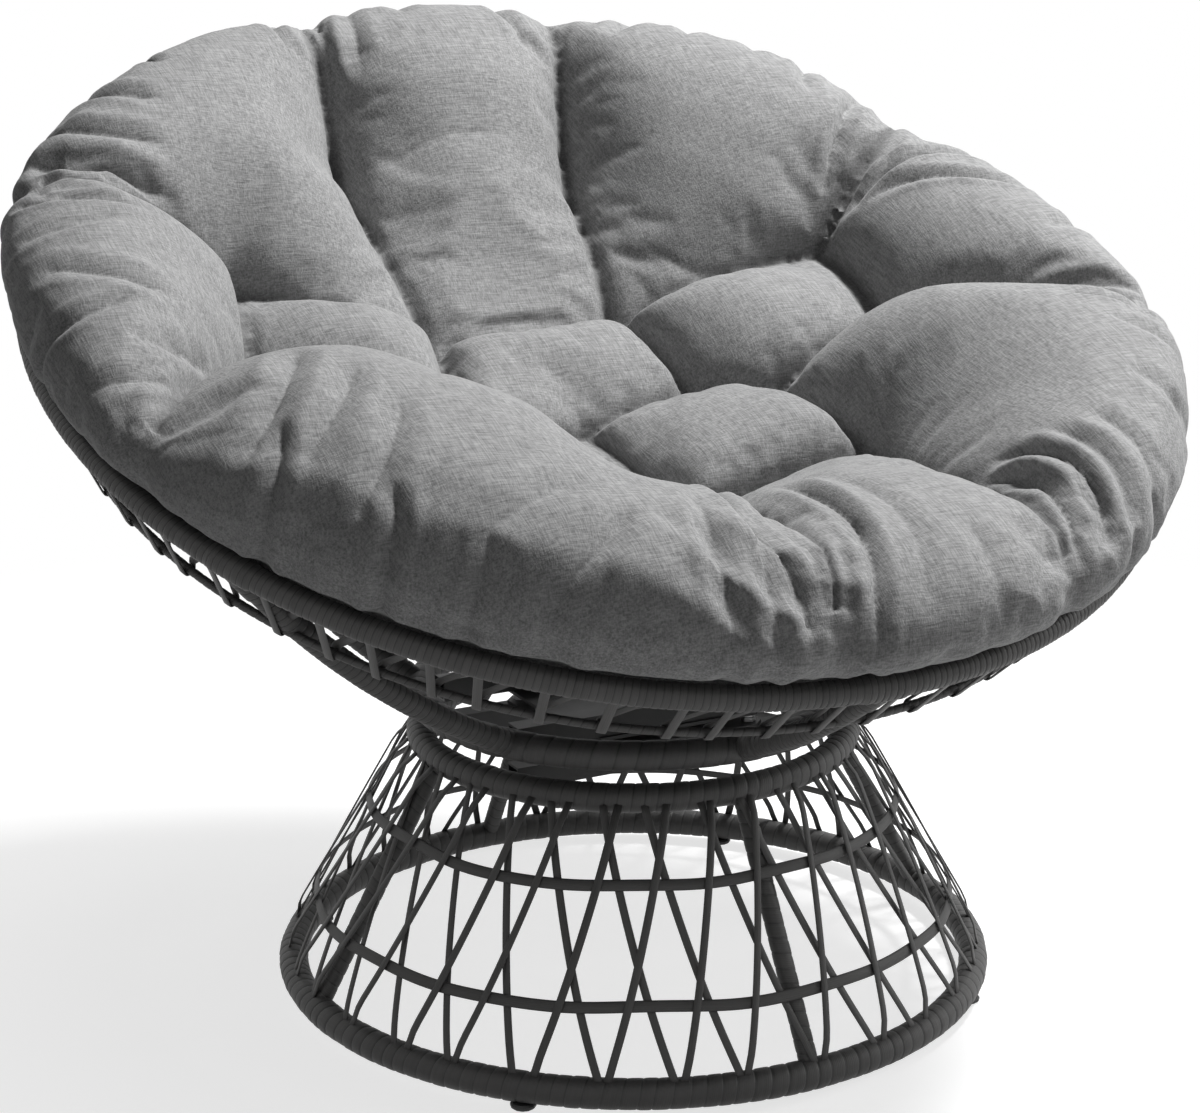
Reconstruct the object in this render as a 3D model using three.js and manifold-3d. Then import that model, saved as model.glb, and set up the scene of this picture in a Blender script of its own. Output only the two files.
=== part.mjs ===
// A swivel papasan chair: a drum-shaped base of steel rings and legs laced with
// wicker, a ball-bearing swivel, a tilted round bowl of ribs and lacing, and a
// round tufted cushion that lies loose in the bowl.
// Millimetres, +Z up. The front of the chair, its low side, faces -Y.

import * as THREE from "three";
import { mergeVertices } from "three/addons/utils/BufferGeometryUtils.js";
import Module from "manifold-3d";

// Clearances
const touchGap = 0.3;
const lacingGap = 0.35;
const holeClearance = 0.4;
const weldDistance = 0.01;

// Where the swivel axis stands from the origin, along Y
const axisY = -52;

// Wrapped tubes of the rings: steel core, wicker wall and the slit of a wrap
const steelRadius = 8;
const wrapBoreRadius = 9;
const wrapRadius = 12.8;
const topWrapRadius = 12;
const rimWrapRadius = 10.4;
const wrapSlit = 3;

// Glide feet
const footHeight = 5;
const footRadius = 11;
const footEdge = 1.5;

// Base
const floorRingRadius = 311.7;
const topRingRadius = 191.9;
const baseRise = 211.2;
const legRadius = 8;
const upperHoopRise = 146;
const lowerHoopRise = 58;
const hoopWidth = 9.5;
const hoopThickness = 1.6;

// Flat wicker lacing
const strapWidth = 6.6;
const strapThickness = 1.6;
const bowlStrapWidth = 7.6;
const turnLength = 8;

// Swivel
const swivelLift = 37.1;
const barSize = 20;
const barWall = 2;
const barOffset = 76;
const plateSize = 176;
const plateThickness = 3;
const plateCorner = 10;
const bearingHeight = 8;
const bearingInnerRadius = 52;
const bearingOuterRadius = 64;
const bearingGroove = 1.5;
const boltRadius = 3;
const boltHeadRadius = 6.5;
const boltHeadHeight = 3.6;
const boltLength = 12;
const pinRadius = 6;
const pinHeadRadius = 11;
const pinHeadHeight = 3;

// Bowl
const seatRingRadius = 191.9;
const rimRadius = 500;
const rimLift = 303.9;
const rimSetback = 60.3;
const rimTilt = THREE.MathUtils.degToRad(22.47);
const ribRadius = 10;
const ribArcRadius = 850;
const bowlHoopInset = 33;
const bowlHoopDrop = 61;
const bowlHoopRadius = 3.6;

// Cushion
const cushionOverhang = 15;
const cushionRadius = rimRadius + cushionOverhang;
const crownHeight = 100;
const cushionDepth = 212;
const edgeHeightShare = 0.38;
const channelHalfWidth = 88;
const rimSeatGap = 1.4;

// Counts
const ringSides = 8;
const coreSides = 6;
const turnedSides = 12;
const floorColumns = 32;
const topColumns = 24;
const rimColumns = 48;
const hoopColumns = 48;
const baseStations = 32;
const ribCount = 6;
const stationsPerBay = 11;
const legCount = 4;
const rodSteps = 8;
const searchPasses = 24;

// Angles of the base lacing
const baseLean = THREE.MathUtils.degToRad(13);

const fullDegrees = 360;
const fullTurn = 2 * Math.PI;
const halfTurn = Math.PI;
const quarterTurn = Math.PI / 2;
const eighthTurn = Math.PI / 4;
const up = new THREE.Vector3(0, 0, 1);

// Heights that follow from the sizes above
const floorRingZ = footHeight + touchGap + wrapRadius;
const topRingZ = floorRingZ + baseRise;
const seatRingZ = topRingZ + swivelLift;
const rimZ = seatRingZ + rimLift;
const rimY = axisY + rimSetback;
const baseSlant = Math.atan2(baseRise, topRingRadius - floorRingRadius);
const baseSlantLength = Math.hypot(baseRise, floorRingRadius - topRingRadius);

const finishes = {
  steel: { color: 0x2b2b2c, roughness: 0.5, metalness: 0.7 },
  zinc: { color: 0x8d9094, roughness: 0.35, metalness: 0.9 },
  wicker: { color: 0x4a4a4a, roughness: 0.6, metalness: 0 },
  wrap: { color: 0x434343, roughness: 0.6, metalness: 0 },
  fabric: { color: 0x85868a, roughness: 0.95, metalness: 0 },
  plastic: { color: 0x141414, roughness: 0.5, metalness: 0 },
};

function namedMesh(name, geometry, finish) {
  geometry.computeVertexNormals();
  const mesh = new THREE.Mesh(geometry, new THREE.MeshStandardMaterial(finishes[finish]));
  mesh.name = name;
  return mesh;
}

// Point at a radius and a height on a circle about Z. Angle 0 is the front, +90 degrees is +X.
function polar(radius, angle, height, centreY = 0) {
  return new THREE.Vector3(radius * Math.sin(angle), centreY - radius * Math.cos(angle), height);
}

// Six times the volume inside a triangle list, negative where its faces point in.
function signedVolume(points, faces) {
  let total = 0;
  for (let i = 0; i < faces.length; i += 3) {
    total += points[faces[i]].dot(points[faces[i + 1]].clone().cross(points[faces[i + 2]]));
  }
  return total;
}

function positions(points) {
  return new THREE.Float32BufferAttribute(points.flatMap((point) => point.toArray()), 3);
}

function solidFrom(points, faces) {
  if (signedVolume(points, faces) < 0) {
    faces.reverse();
  }
  const geometry = new THREE.BufferGeometry();
  geometry.setAttribute("position", positions(points));
  geometry.setIndex(faces);
  return geometry;
}

// Solid from corners in threes: joins corners that coincide and leaves out empty triangles.
function solidFromTriangles(corners) {
  const soup = new THREE.BufferGeometry();
  soup.setAttribute("position", positions(corners));
  const joined = mergeVertices(soup, weldDistance);
  const points = [];
  for (let i = 0; i < joined.attributes.position.count; i += 1) {
    points.push(new THREE.Vector3().fromBufferAttribute(joined.attributes.position, i));
  }
  const faces = [];
  for (let i = 0; i < joined.index.count; i += 3) {
    const [a, b, c] = joined.index.array.slice(i, i + 3);
    if (a !== b && b !== c && c !== a) {
      faces.push(a, b, c);
    }
  }
  return solidFrom(points, faces);
}

// Skin over a row of equal loops of points. A closed row joins its last loop to its first;
// an open one gets a flat cap at each end.
function loft(loops, closed) {
  const sides = loops[0].length;
  const points = loops.flat();
  const faces = [];
  const spans = closed ? loops.length : loops.length - 1;
  for (let i = 0; i < spans; i += 1) {
    const here = i * sides;
    const next = ((i + 1) % loops.length) * sides;
    for (let j = 0; j < sides; j += 1) {
      const k = (j + 1) % sides;
      faces.push(here + j, next + j, here + k);
      faces.push(here + k, next + j, next + k);
    }
  }
  if (!closed) {
    const last = (loops.length - 1) * sides;
    for (let j = 1; j < sides - 1; j += 1) {
      faces.push(0, j, j + 1);
      faces.push(last, last + j + 1, last + j);
    }
  }
  return solidFrom(points, faces);
}

// Round section of a ring's tube, at one angle of the ring.
function tubeLoop(ring, tubeRadius, sides, angle) {
  const loop = [];
  for (let j = 0; j < sides; j += 1) {
    const turn = ring.sectionTurn + (fullTurn * j) / sides;
    const radius = ring.radius + tubeRadius * Math.cos(turn);
    loop.push(polar(radius, angle, ring.z + tubeRadius * Math.sin(turn), ring.y));
  }
  return loop;
}

function ringCore(ring) {
  const loops = [];
  for (let i = 0; i < ring.columns; i += 1) {
    loops.push(tubeLoop(ring, steelRadius, coreSides, (fullTurn * i) / ring.columns));
  }
  return loft(loops, true);
}

// How far in a ring's chord lies from its circle, as a share of the radius, at one angle.
function chordShare(ring, angle) {
  const step = fullTurn / ring.columns;
  const part = angle - step * Math.floor(angle / step);
  return Math.cos(step / 2) / Math.cos(part - step / 2);
}

// Wicker wrap: an open-ended sleeve round the whole ring, slit across at one angle.
function ringWrap(ring, slitAngle) {
  const step = fullTurn / ring.columns;
  const start = slitAngle + wrapSlit / ring.radius;
  const end = slitAngle + fullTurn;
  const angles = [start];
  for (let i = Math.ceil(start / step); i * step < end; i += 1) {
    angles.push(i * step);
  }
  angles.push(end);
  const sleeve = (tubeRadius) => angles.map((angle) => {
    const share = chordShare(ring, angle);
    const onChord = ({ x, y, z }) => new THREE.Vector3(x * share, ring.y + (y - ring.y) * share, z);
    return tubeLoop(ring, tubeRadius, ringSides, angle).map(onChord);
  });
  return loft([...sleeve(ring.wrapRadius), ...sleeve(wrapBoreRadius).reverse()], true);
}

// Distance from the axis to the inner side of a ring's wrapped tube, at one angle.
function innerRadius(ring, angle) {
  return (ring.radius - ring.wrapRadius) * chordShare(ring, angle);
}

// Slides an end loop of a rod along the rod, onto a plane that holds the given direction.
function cutAlong(loop, centre, along, direction) {
  if (!direction) {
    return;
  }
  const normal = along.clone().addScaledVector(direction, -along.dot(direction)).normalize();
  for (const point of loop) {
    const offset = point.clone().sub(centre).dot(normal);
    point.addScaledVector(along, -offset / along.dot(normal));
  }
}

// Round rod along a row of points. Its ends are square, or cut parallel to the directions
// given for the start and the end.
function rod(path, radius, sides, startCut, endCut) {
  const loops = [];
  const across = new THREE.Vector3();
  path.forEach((point, i) => {
    const ahead = path[Math.min(i + 1, path.length - 1)];
    const behind = path[Math.max(i - 1, 0)];
    const along = ahead.clone().sub(behind).normalize();
    if (i === 0) {
      across.copy(up).cross(along).normalize();
    }
    const rise = along.clone().cross(across).normalize();
    across.copy(rise).cross(along).normalize();
    const loop = [];
    for (let j = 0; j < sides; j += 1) {
      const turn = (fullTurn * j) / sides;
      loop.push(point.clone()
        .addScaledVector(across, radius * Math.cos(turn))
        .addScaledVector(rise, radius * Math.sin(turn)));
    }
    if (i === 0) {
      cutAlong(loop, point, along, startCut);
    }
    if (i === path.length - 1) {
      cutAlong(loop, point, along, endCut);
    }
    loops.push(loop);
  });
  return loft(loops, false);
}

// Flat strap along a row of points. Each point carries the outward direction of the
// surface that the strap lies in; bends are mitred.
function strap(stops, width, thickness) {
  const loops = stops.map((stop, i) => {
    const before = i > 0 ? stop.at.clone().sub(stops[i - 1].at).normalize() : null;
    const after = i < stops.length - 1 ? stops[i + 1].at.clone().sub(stop.at).normalize() : null;
    const along = new THREE.Vector3();
    if (before) {
      along.add(before);
    }
    if (after) {
      along.add(after);
    }
    along.normalize();
    const mitre = before && after ? 1 / along.dot(after) : 1;
    const across = stop.out.clone().cross(along).normalize();
    const face = along.clone().cross(across).normalize();
    const corner = (w, t) => stop.at.clone()
      .addScaledVector(across, (w * width * mitre) / 2)
      .addScaledVector(face, (t * thickness) / 2);
    return [corner(1, 1), corner(-1, 1), corner(-1, -1), corner(1, -1)];
  });
  return loft(loops, false);
}

// Flat strap folded across its run at every stop, where the stop says which way its width
// lies.
function foldedStrap(stops, width, thickness) {
  const loops = stops.map((stop, i) => {
    const from = stops[Math.max(i - 1, 0)].at;
    const to = stops[Math.min(i + 1, stops.length - 1)].at;
    const before = i > 0 ? stop.at.clone().sub(from) : to.clone().sub(stop.at);
    const after = i < stops.length - 1 ? to.clone().sub(stop.at) : before.clone();
    const face = before.cross(stop.across).normalize();
    face.add(after.cross(stop.across).normalize());
    face.multiplyScalar(2 / face.lengthSq());
    const corner = (w, t) => stop.at.clone()
      .addScaledVector(stop.across, (w * width) / 2)
      .addScaledVector(face, (t * thickness) / 2);
    return [corner(1, 1), corner(-1, 1), corner(-1, -1), corner(1, -1)];
  });
  return loft(loops, false);
}

// Points on the cone of the base lacing: how far up the slant from the floor ring's
// centre line, and how far outside that line.
function onBaseCone(angle, alongSlant, outside) {
  const radius = floorRingRadius + alongSlant * Math.cos(baseSlant) + outside * Math.sin(baseSlant);
  const height = floorRingZ + alongSlant * Math.sin(baseSlant) - outside * Math.cos(baseSlant);
  const out = polar(Math.sin(baseSlant), angle, -Math.cos(baseSlant));
  return { at: polar(radius, angle, height, axisY), out };
}

const rings = {
  floor: {
    radius: floorRingRadius, z: floorRingZ, y: axisY, columns: floorColumns,
    wrapRadius, sectionTurn: 0,
  },
  top: {
    radius: topRingRadius, z: topRingZ, y: axisY, columns: topColumns,
    wrapRadius: topWrapRadius, sectionTurn: baseSlant,
  },
  seat: {
    radius: seatRingRadius, z: seatRingZ, y: axisY, columns: topColumns,
    wrapRadius, sectionTurn: 0,
  },
  rim: {
    radius: rimRadius, z: 0, y: 0, columns: rimColumns,
    wrapRadius: rimWrapRadius, sectionTurn: 0,
  },
};

// The bowl's rim frame: its origin is the rim's centre and its Z the rim's normal.
const rimFrame = new THREE.Matrix4()
  .makeTranslation(0, rimY, rimZ)
  .multiply(new THREE.Matrix4().makeRotationX(rimTilt));

function placeInRimFrame(geometry) {
  return geometry.applyMatrix4(rimFrame);
}

// Layers of the base lacing, counted outwards from the legs. A strap runs as two chords and
// a hoop as many, so each dips a little towards the axis.
const chordDip = (radius, angle) => radius * (1 - Math.cos(angle / 2));
const strapDip = chordDip(floorRingRadius, baseLean / 2);
const hoopDip = chordDip(floorRingRadius, fullTurn / hoopColumns);
const innerLayer = legRadius + touchGap + strapThickness / 2 + strapDip;
const hoopLayer = innerLayer + strapThickness / 2 + touchGap + hoopThickness / 2 + hoopDip;
const outerLayer = hoopLayer + hoopThickness / 2 + touchGap + strapThickness / 2 + strapDip;

function baseHoop(rise) {
  const alongSlant = rise / Math.sin(baseSlant);
  const loops = [];
  for (let i = 0; i < hoopColumns; i += 1) {
    const angle = (fullTurn * i) / hoopColumns;
    const corner = (w, t) => onBaseCone(
      angle, alongSlant + (w * hoopWidth) / 2, hoopLayer + (t * hoopThickness) / 2).at;
    loops.push([corner(1, 1), corner(-1, 1), corner(-1, -1), corner(1, -1)]);
  }
  return loft(loops, true);
}

// How far from a ring's centre line a strap has to turn back, at some layer.
function turnDistance(tubeRadius, layer, width) {
  const clear = tubeRadius + lacingGap;
  return Math.sqrt(clear * clear - layer * layer) + width / 2;
}

// One long strap laced between the two rings of the base: up outside the hoops with the
// lean one way, down inside them with the lean the other way.
function baseLacing(firstStation, stationCount) {
  const pitch = fullTurn / baseStations;
  const low = turnDistance(wrapRadius, innerLayer, strapWidth);
  const high = baseSlantLength - turnDistance(topWrapRadius, innerLayer, strapWidth);
  const middle = (low + high) / 2;
  const halfFoot = turnLength / floorRingRadius / 2;
  const stops = [];
  for (let k = 0; k < stationCount; k += 2) {
    const up = (firstStation + k) * pitch + halfFoot;
    const down = (firstStation + k + 2) * pitch - halfFoot;
    stops.push(onBaseCone(up, low, outerLayer));
    stops.push(onBaseCone(up + baseLean / 2, middle, outerLayer));
    stops.push(onBaseCone(up + baseLean, high, outerLayer));
    stops.push(onBaseCone(down - baseLean, high, innerLayer));
    stops.push(onBaseCone(down - baseLean / 2, middle, innerLayer));
    stops.push(onBaseCone(down, low, innerLayer));
  }
  return strap(stops, strapWidth, strapThickness);
}

function buildBase() {
  const base = new THREE.Group();
  base.add(namedMesh("base_floor_ring", ringCore(rings.floor), "steel"));
  base.add(namedMesh("base_floor_ring_wrap", ringWrap(rings.floor, eighthTurn), "wrap"));
  base.add(namedMesh("base_top_ring", ringCore(rings.top), "steel"));
  base.add(namedMesh("base_top_ring_wrap", ringWrap(rings.top, eighthTurn), "wrap"));
  const legNames = ["front", "right", "back", "left"];
  const legStart = wrapRadius + touchGap;
  const legEnd = baseSlantLength - topWrapRadius - touchGap;
  for (let i = 0; i < legCount; i += 1) {
    const angle = i * quarterTurn;
    const path = [onBaseCone(angle, legStart, 0).at, onBaseCone(angle, legEnd, 0).at];
    base.add(namedMesh(`base_leg_${legNames[i]}`, rod(path, legRadius, ringSides), "steel"));
  }
  base.add(namedMesh("base_hoop_lower", baseHoop(lowerHoopRise), "wicker"));
  base.add(namedMesh("base_hoop_upper", baseHoop(upperHoopRise), "wicker"));
  const half = baseStations / 2;
  ["right", "left"].forEach((side, i) => {
    for (let start = 0; start < 2; start += 1) {
      const lacing = baseLacing(i * half + start, half);
      base.add(namedMesh(`base_lacing_${side}_${start + 1}`, lacing, "wicker"));
    }
  });
  const footNames = ["front_right", "back_right", "back_left", "front_left"];
  for (let i = 0; i < legCount; i += 1) {
    const foot = glideFoot();
    const at = polar(floorRingRadius, eighthTurn + i * quarterTurn, 0, axisY);
    foot.translate(at.x, at.y, 0);
    base.add(namedMesh(`glide_foot_${footNames[i]}`, foot, "plastic"));
  }
  return base;
}

// Turned solid about Z from half a profile, given as pairs of radius and height.
function turned(profile, sides) {
  const geometry = new THREE.LatheGeometry(profile.map(([r, h]) => new THREE.Vector2(r, h)), sides);
  geometry.rotateX(quarterTurn);
  geometry.deleteAttribute("normal");
  geometry.deleteAttribute("uv");
  return mergeVertices(geometry);
}

function glideFoot() {
  return turned([
    [0, 0],
    [footRadius - footEdge, 0],
    [footRadius, footEdge],
    [footRadius, footHeight - footEdge],
    [footRadius - footEdge, footHeight],
    [0, footHeight],
  ], turnedSides);
}

const wasm = await Module();
wasm.setup();

function toManifold(geometry) {
  const bare = geometry.clone();
  bare.deleteAttribute("normal");
  bare.deleteAttribute("uv");
  const merged = mergeVertices(bare);
  return new wasm.Manifold(new wasm.Mesh({
    numProp: 3,
    vertProperties: Float32Array.from(merged.attributes.position.array),
    triVerts: Uint32Array.from(merged.index.array),
  }));
}

function fromManifold(solid) {
  const mesh = solid.getMesh();
  const geometry = new THREE.BufferGeometry();
  geometry.setAttribute("position", new THREE.Float32BufferAttribute(mesh.vertProperties, 3));
  geometry.setIndex(Array.from(mesh.triVerts));
  return geometry;
}

// Heights of the swivel's stack, from the base's bars up to the bowl's bars
const boltSpan = barOffset;
const stackHeight = 2 * plateThickness + bearingHeight + 4 * touchGap;
const baseBarZ = (topRingZ + seatRingZ) / 2 - stackHeight / 2 - barSize / 2;
const lowerPlateZ = baseBarZ + barSize / 2 + touchGap;
const bearingZ = lowerPlateZ + plateThickness + touchGap;
const upperPlateZ = bearingZ + bearingHeight + touchGap;
const seatBarZ = upperPlateZ + plateThickness + touchGap + barSize / 2;
const boltHoleRadius = boltRadius + holeClearance;

// Square tube along X with a hole for each bolt in the wall that meets the plate. It is as
// long as the ring lets its corners be.
function crossBar(ring, offset, z, plateSide) {
  const cornerOffset = Math.abs(offset) + barSize / 2;
  let halfLength = ring.radius;
  for (let pass = 0; pass < searchPasses; pass += 1) {
    const angle = Math.atan2(halfLength, cornerOffset);
    const reach = innerRadius(ring, angle) - touchGap;
    halfLength = Math.sqrt(reach * reach - cornerOffset * cornerOffset);
  }
  const inner = barSize - 2 * barWall;
  const outside = new THREE.BoxGeometry(2 * halfLength, barSize, barSize);
  const inside = new THREE.BoxGeometry(2 * halfLength + barSize, inner, inner);
  let solid = toManifold(outside).subtract(toManifold(inside));
  for (const x of [-boltSpan, boltSpan]) {
    const hole = new THREE.CylinderGeometry(boltHoleRadius, boltHoleRadius, barSize, coreSides);
    hole.rotateX(quarterTurn);
    hole.translate(x, 0, (plateSide * barSize) / 2);
    solid = solid.subtract(toManifold(hole));
  }
  const geometry = fromManifold(solid);
  geometry.translate(0, axisY + offset, z);
  return geometry;
}

function swivelPlate(z) {
  const half = plateSize / 2;
  const flat = half - plateCorner;
  const outline = new THREE.Shape([
    [flat, -half], [half, -flat], [half, flat], [flat, half],
    [-flat, half], [-half, flat], [-half, -flat], [-flat, -half],
  ].map(([x, y]) => new THREE.Vector2(x, y)));
  const addHole = (x, y, radius, sides) => {
    const points = [];
    for (let j = 0; j < sides; j += 1) {
      const turn = (-fullTurn * j) / sides;
      points.push(new THREE.Vector2(x + radius * Math.sin(turn), y + radius * Math.cos(turn)));
    }
    outline.holes.push(new THREE.Path(points));
  };
  for (const x of [-boltSpan, boltSpan]) {
    for (const y of [-boltSpan, boltSpan]) {
      addHole(x, y, boltHoleRadius, coreSides);
    }
  }
  addHole(0, 0, pinRadius + holeClearance, turnedSides);
  const geometry = new THREE.ExtrudeGeometry(outline, {
    depth: plateThickness, bevelEnabled: false, curveSegments: 1,
  });
  geometry.translate(0, axisY, z);
  return geometry;
}

// Hexagon-headed bolt, its head against a plate and its shank away from the head along Z.
function plateBolt(x, y, headZ, direction) {
  const geometry = turned([
    [0, -boltLength],
    [boltRadius, -boltLength],
    [boltRadius, 0],
    [boltHeadRadius, 0],
    [boltHeadRadius, boltHeadHeight],
    [0, boltHeadHeight],
  ], coreSides);
  if (direction < 0) {
    geometry.rotateX(halfTurn);
  }
  geometry.translate(x, axisY + y, headZ);
  return geometry;
}

function swivelBearing() {
  const half = bearingHeight / 2;
  const profile = [
    [bearingInnerRadius, 0],
    [bearingOuterRadius, 0],
    [bearingOuterRadius, half - bearingGroove],
    [bearingOuterRadius - bearingGroove, half],
    [bearingOuterRadius, half + bearingGroove],
    [bearingOuterRadius, bearingHeight],
    [bearingInnerRadius, bearingHeight],
    [bearingInnerRadius, 0],
  ];
  const geometry = turned(profile, floorColumns);
  geometry.translate(0, axisY, bearingZ);
  return geometry;
}

// Centre pin that holds the two plates together, with a head below and one above.
function swivelPin() {
  const bottom = lowerPlateZ - touchGap - pinHeadHeight;
  const top = upperPlateZ + plateThickness + touchGap;
  const geometry = turned([
    [0, bottom],
    [pinHeadRadius, bottom],
    [pinHeadRadius, bottom + pinHeadHeight],
    [pinRadius, bottom + pinHeadHeight],
    [pinRadius, top],
    [pinHeadRadius, top],
    [pinHeadRadius, top + pinHeadHeight],
    [0, top + pinHeadHeight],
  ], turnedSides);
  geometry.translate(0, axisY, 0);
  return geometry;
}

const boltCorners = [[1, -1], [1, 1], [-1, 1], [-1, -1]];
const barSides = [["front", -barOffset], ["back", barOffset]];

function addBars(group, body, ring, z, plateSide) {
  for (const [side, offset] of barSides) {
    const bar = crossBar(ring, offset, z, plateSide);
    group.add(namedMesh(`${body}_cross_bar_${side}`, bar, "steel"));
  }
}

function addBolts(group, plate, headZ, direction) {
  boltCorners.forEach(([x, y], i) => {
    const bolt = plateBolt(x * boltSpan, y * boltSpan, headZ, direction);
    group.add(namedMesh(`${plate}_plate_bolt_${i + 1}`, bolt, "zinc"));
  });
}

function buildLowerSwivel() {
  const group = new THREE.Group();
  addBars(group, "base", rings.top, baseBarZ, 1);
  group.add(namedMesh("swivel_plate_lower", swivelPlate(lowerPlateZ), "steel"));
  addBolts(group, "lower", lowerPlateZ + plateThickness + touchGap, 1);
  group.add(namedMesh("swivel_bearing", swivelBearing(), "zinc"));
  group.add(namedMesh("swivel_pin", swivelPin(), "zinc"));
  return group;
}

function buildUpperSwivel() {
  const group = new THREE.Group();
  group.add(namedMesh("swivel_plate_upper", swivelPlate(upperPlateZ), "steel"));
  addBolts(group, "upper", upperPlateZ - touchGap, -1);
  addBars(group, "bowl", rings.seat, seatBarZ, -1);
  return group;
}

// A rib is an arc from the seat ring up to the rim, bellied outwards.
function ribPoint(angle, share) {
  const foot = polar(seatRingRadius, angle, seatRingZ, axisY);
  const head = polar(rimRadius, angle, 0).applyMatrix4(rimFrame);
  const chord = head.clone().sub(foot);
  const length = chord.length();
  chord.normalize();
  const down = up.clone().negate();
  down.addScaledVector(chord, -down.dot(chord)).normalize();
  const toCentre = Math.sqrt(ribArcRadius * ribArcRadius - (length * length) / 4);
  const halfAngle = Math.asin(length / 2 / ribArcRadius);
  const turn = halfAngle * (2 * share - 1);
  return foot.clone().add(head).multiplyScalar(1 / 2)
    .addScaledVector(down, ribArcRadius * Math.cos(turn) - toCentre)
    .addScaledVector(chord, ribArcRadius * Math.sin(turn));
}

function bowlRib(angle) {
  const seatAlong = polar(1, angle + quarterTurn, 0);
  const rimAlong = seatAlong.clone().transformDirection(rimFrame);
  const length = ribPoint(angle, 0).distanceTo(ribPoint(angle, 1));
  const trimAt = (end, ringAlong, ringWrapRadius) => {
    const along = ribPoint(angle, 1 / 2).sub(ribPoint(angle, end)).normalize();
    const slant = Math.sqrt(1 - along.dot(ringAlong) ** 2);
    return (ringWrapRadius + touchGap) / slant / length;
  };
  const first = trimAt(0, seatAlong, wrapRadius);
  const last = 1 - trimAt(1, rimAlong, rimWrapRadius);
  const path = [];
  for (let i = 0; i <= rodSteps; i += 1) {
    path.push(ribPoint(angle, first + ((last - first) * i) / rodSteps));
  }
  return rod(path, ribRadius, ringSides, seatAlong, rimAlong);
}

// Where a rib passes the bowl's hoop, in the rim's frame: the angle round the rim, and how
// far along the hoop its side reaches from there.
function ribAtHoop(angle) {
  const toRim = rimFrame.clone().invert();
  let low = 1 / 2;
  let high = 1;
  for (let pass = 0; pass < searchPasses; pass += 1) {
    const middle = (low + high) / 2;
    const height = ribPoint(angle, middle).applyMatrix4(toRim).z;
    if (height < -bowlHoopDrop) {
      low = middle;
    } else {
      high = middle;
    }
  }
  const at = ribPoint(angle, high).applyMatrix4(toRim);
  const along = ribPoint(angle, 1).applyMatrix4(toRim).sub(at).normalize();
  const turns = Math.round((angle - Math.atan2(at.x, -at.y)) / fullTurn);
  const hoopAngle = Math.atan2(at.x, -at.y) + turns * fullTurn;
  const lean = Math.abs(along.dot(polar(1, hoopAngle + quarterTurn, 0)));
  const reach = (ribRadius + bowlHoopRadius * lean) / Math.sqrt(1 - lean * lean) + touchGap;
  return { hoopAngle, reach };
}

const hoopRadius = rimRadius - bowlHoopInset;
const bowlSlant = Math.atan2(-bowlHoopDrop, -bowlHoopInset);
const bowlSlantLength = Math.hypot(bowlHoopDrop, bowlHoopInset);

// Point on the cone from the rim to the bowl's hoop, in the rim's frame.
function onBowlCone(angle, alongSlant, outside) {
  const radius = rimRadius + alongSlant * Math.cos(bowlSlant) - outside * Math.sin(bowlSlant);
  const height = alongSlant * Math.sin(bowlSlant) + outside * Math.cos(bowlSlant);
  const out = polar(-Math.sin(bowlSlant), angle, Math.cos(bowlSlant));
  return { at: polar(radius, angle, height), out };
}

// Hoop rod between two ribs.
function bowlHoop(start, end) {
  const first = start.hoopAngle + start.reach / hoopRadius;
  const last = end.hoopAngle - end.reach / hoopRadius;
  const path = [];
  for (let i = 0; i <= rodSteps; i += 1) {
    path.push(polar(hoopRadius, first + ((last - first) * i) / rodSteps, -bowlHoopDrop));
  }
  return rod(path, bowlHoopRadius, coreSides);
}

// Strap laced between the rim and the hoop in one bay: straight down outside, and up inside
// to the next station.
function bowlLacing(rimStart, rimEnd, hoopStart, hoopEnd) {
  const hoopStep = (hoopEnd - hoopStart) / rodSteps;
  const dip = chordDip(hoopRadius, hoopStep);
  const layer = bowlHoopRadius + lacingGap + strapThickness / 2 + dip;
  const top = rimWrapRadius + lacingGap + strapThickness / 2;
  const bottom = bowlSlantLength + layer;
  const at = (station, alongSlant, side) => {
    const share = (station + 1 / 2) / stationsPerBay;
    const rimAngle = rimStart + (rimEnd - rimStart) * share;
    const hoopAngle = hoopStart + (hoopEnd - hoopStart) * share;
    const drop = alongSlant / bowlSlantLength;
    const angle = rimAngle + (hoopAngle - rimAngle) * drop;
    const stop = onBowlCone(angle, alongSlant, side * layer);
    return { at: stop.at, across: polar(1, angle + quarterTurn, 0) };
  };
  const stops = [];
  for (let k = 0; k < stationsPerBay; k += 1) {
    stops.push(at(k, top, 1));
    stops.push(at(k, bottom, 1));
    stops.push(at(k, bottom, -1));
    if (k < stationsPerBay - 1) {
      stops.push(at(k + 1, top, -1));
    }
  }
  return foldedStrap(stops, bowlStrapWidth, strapThickness);
}

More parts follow.
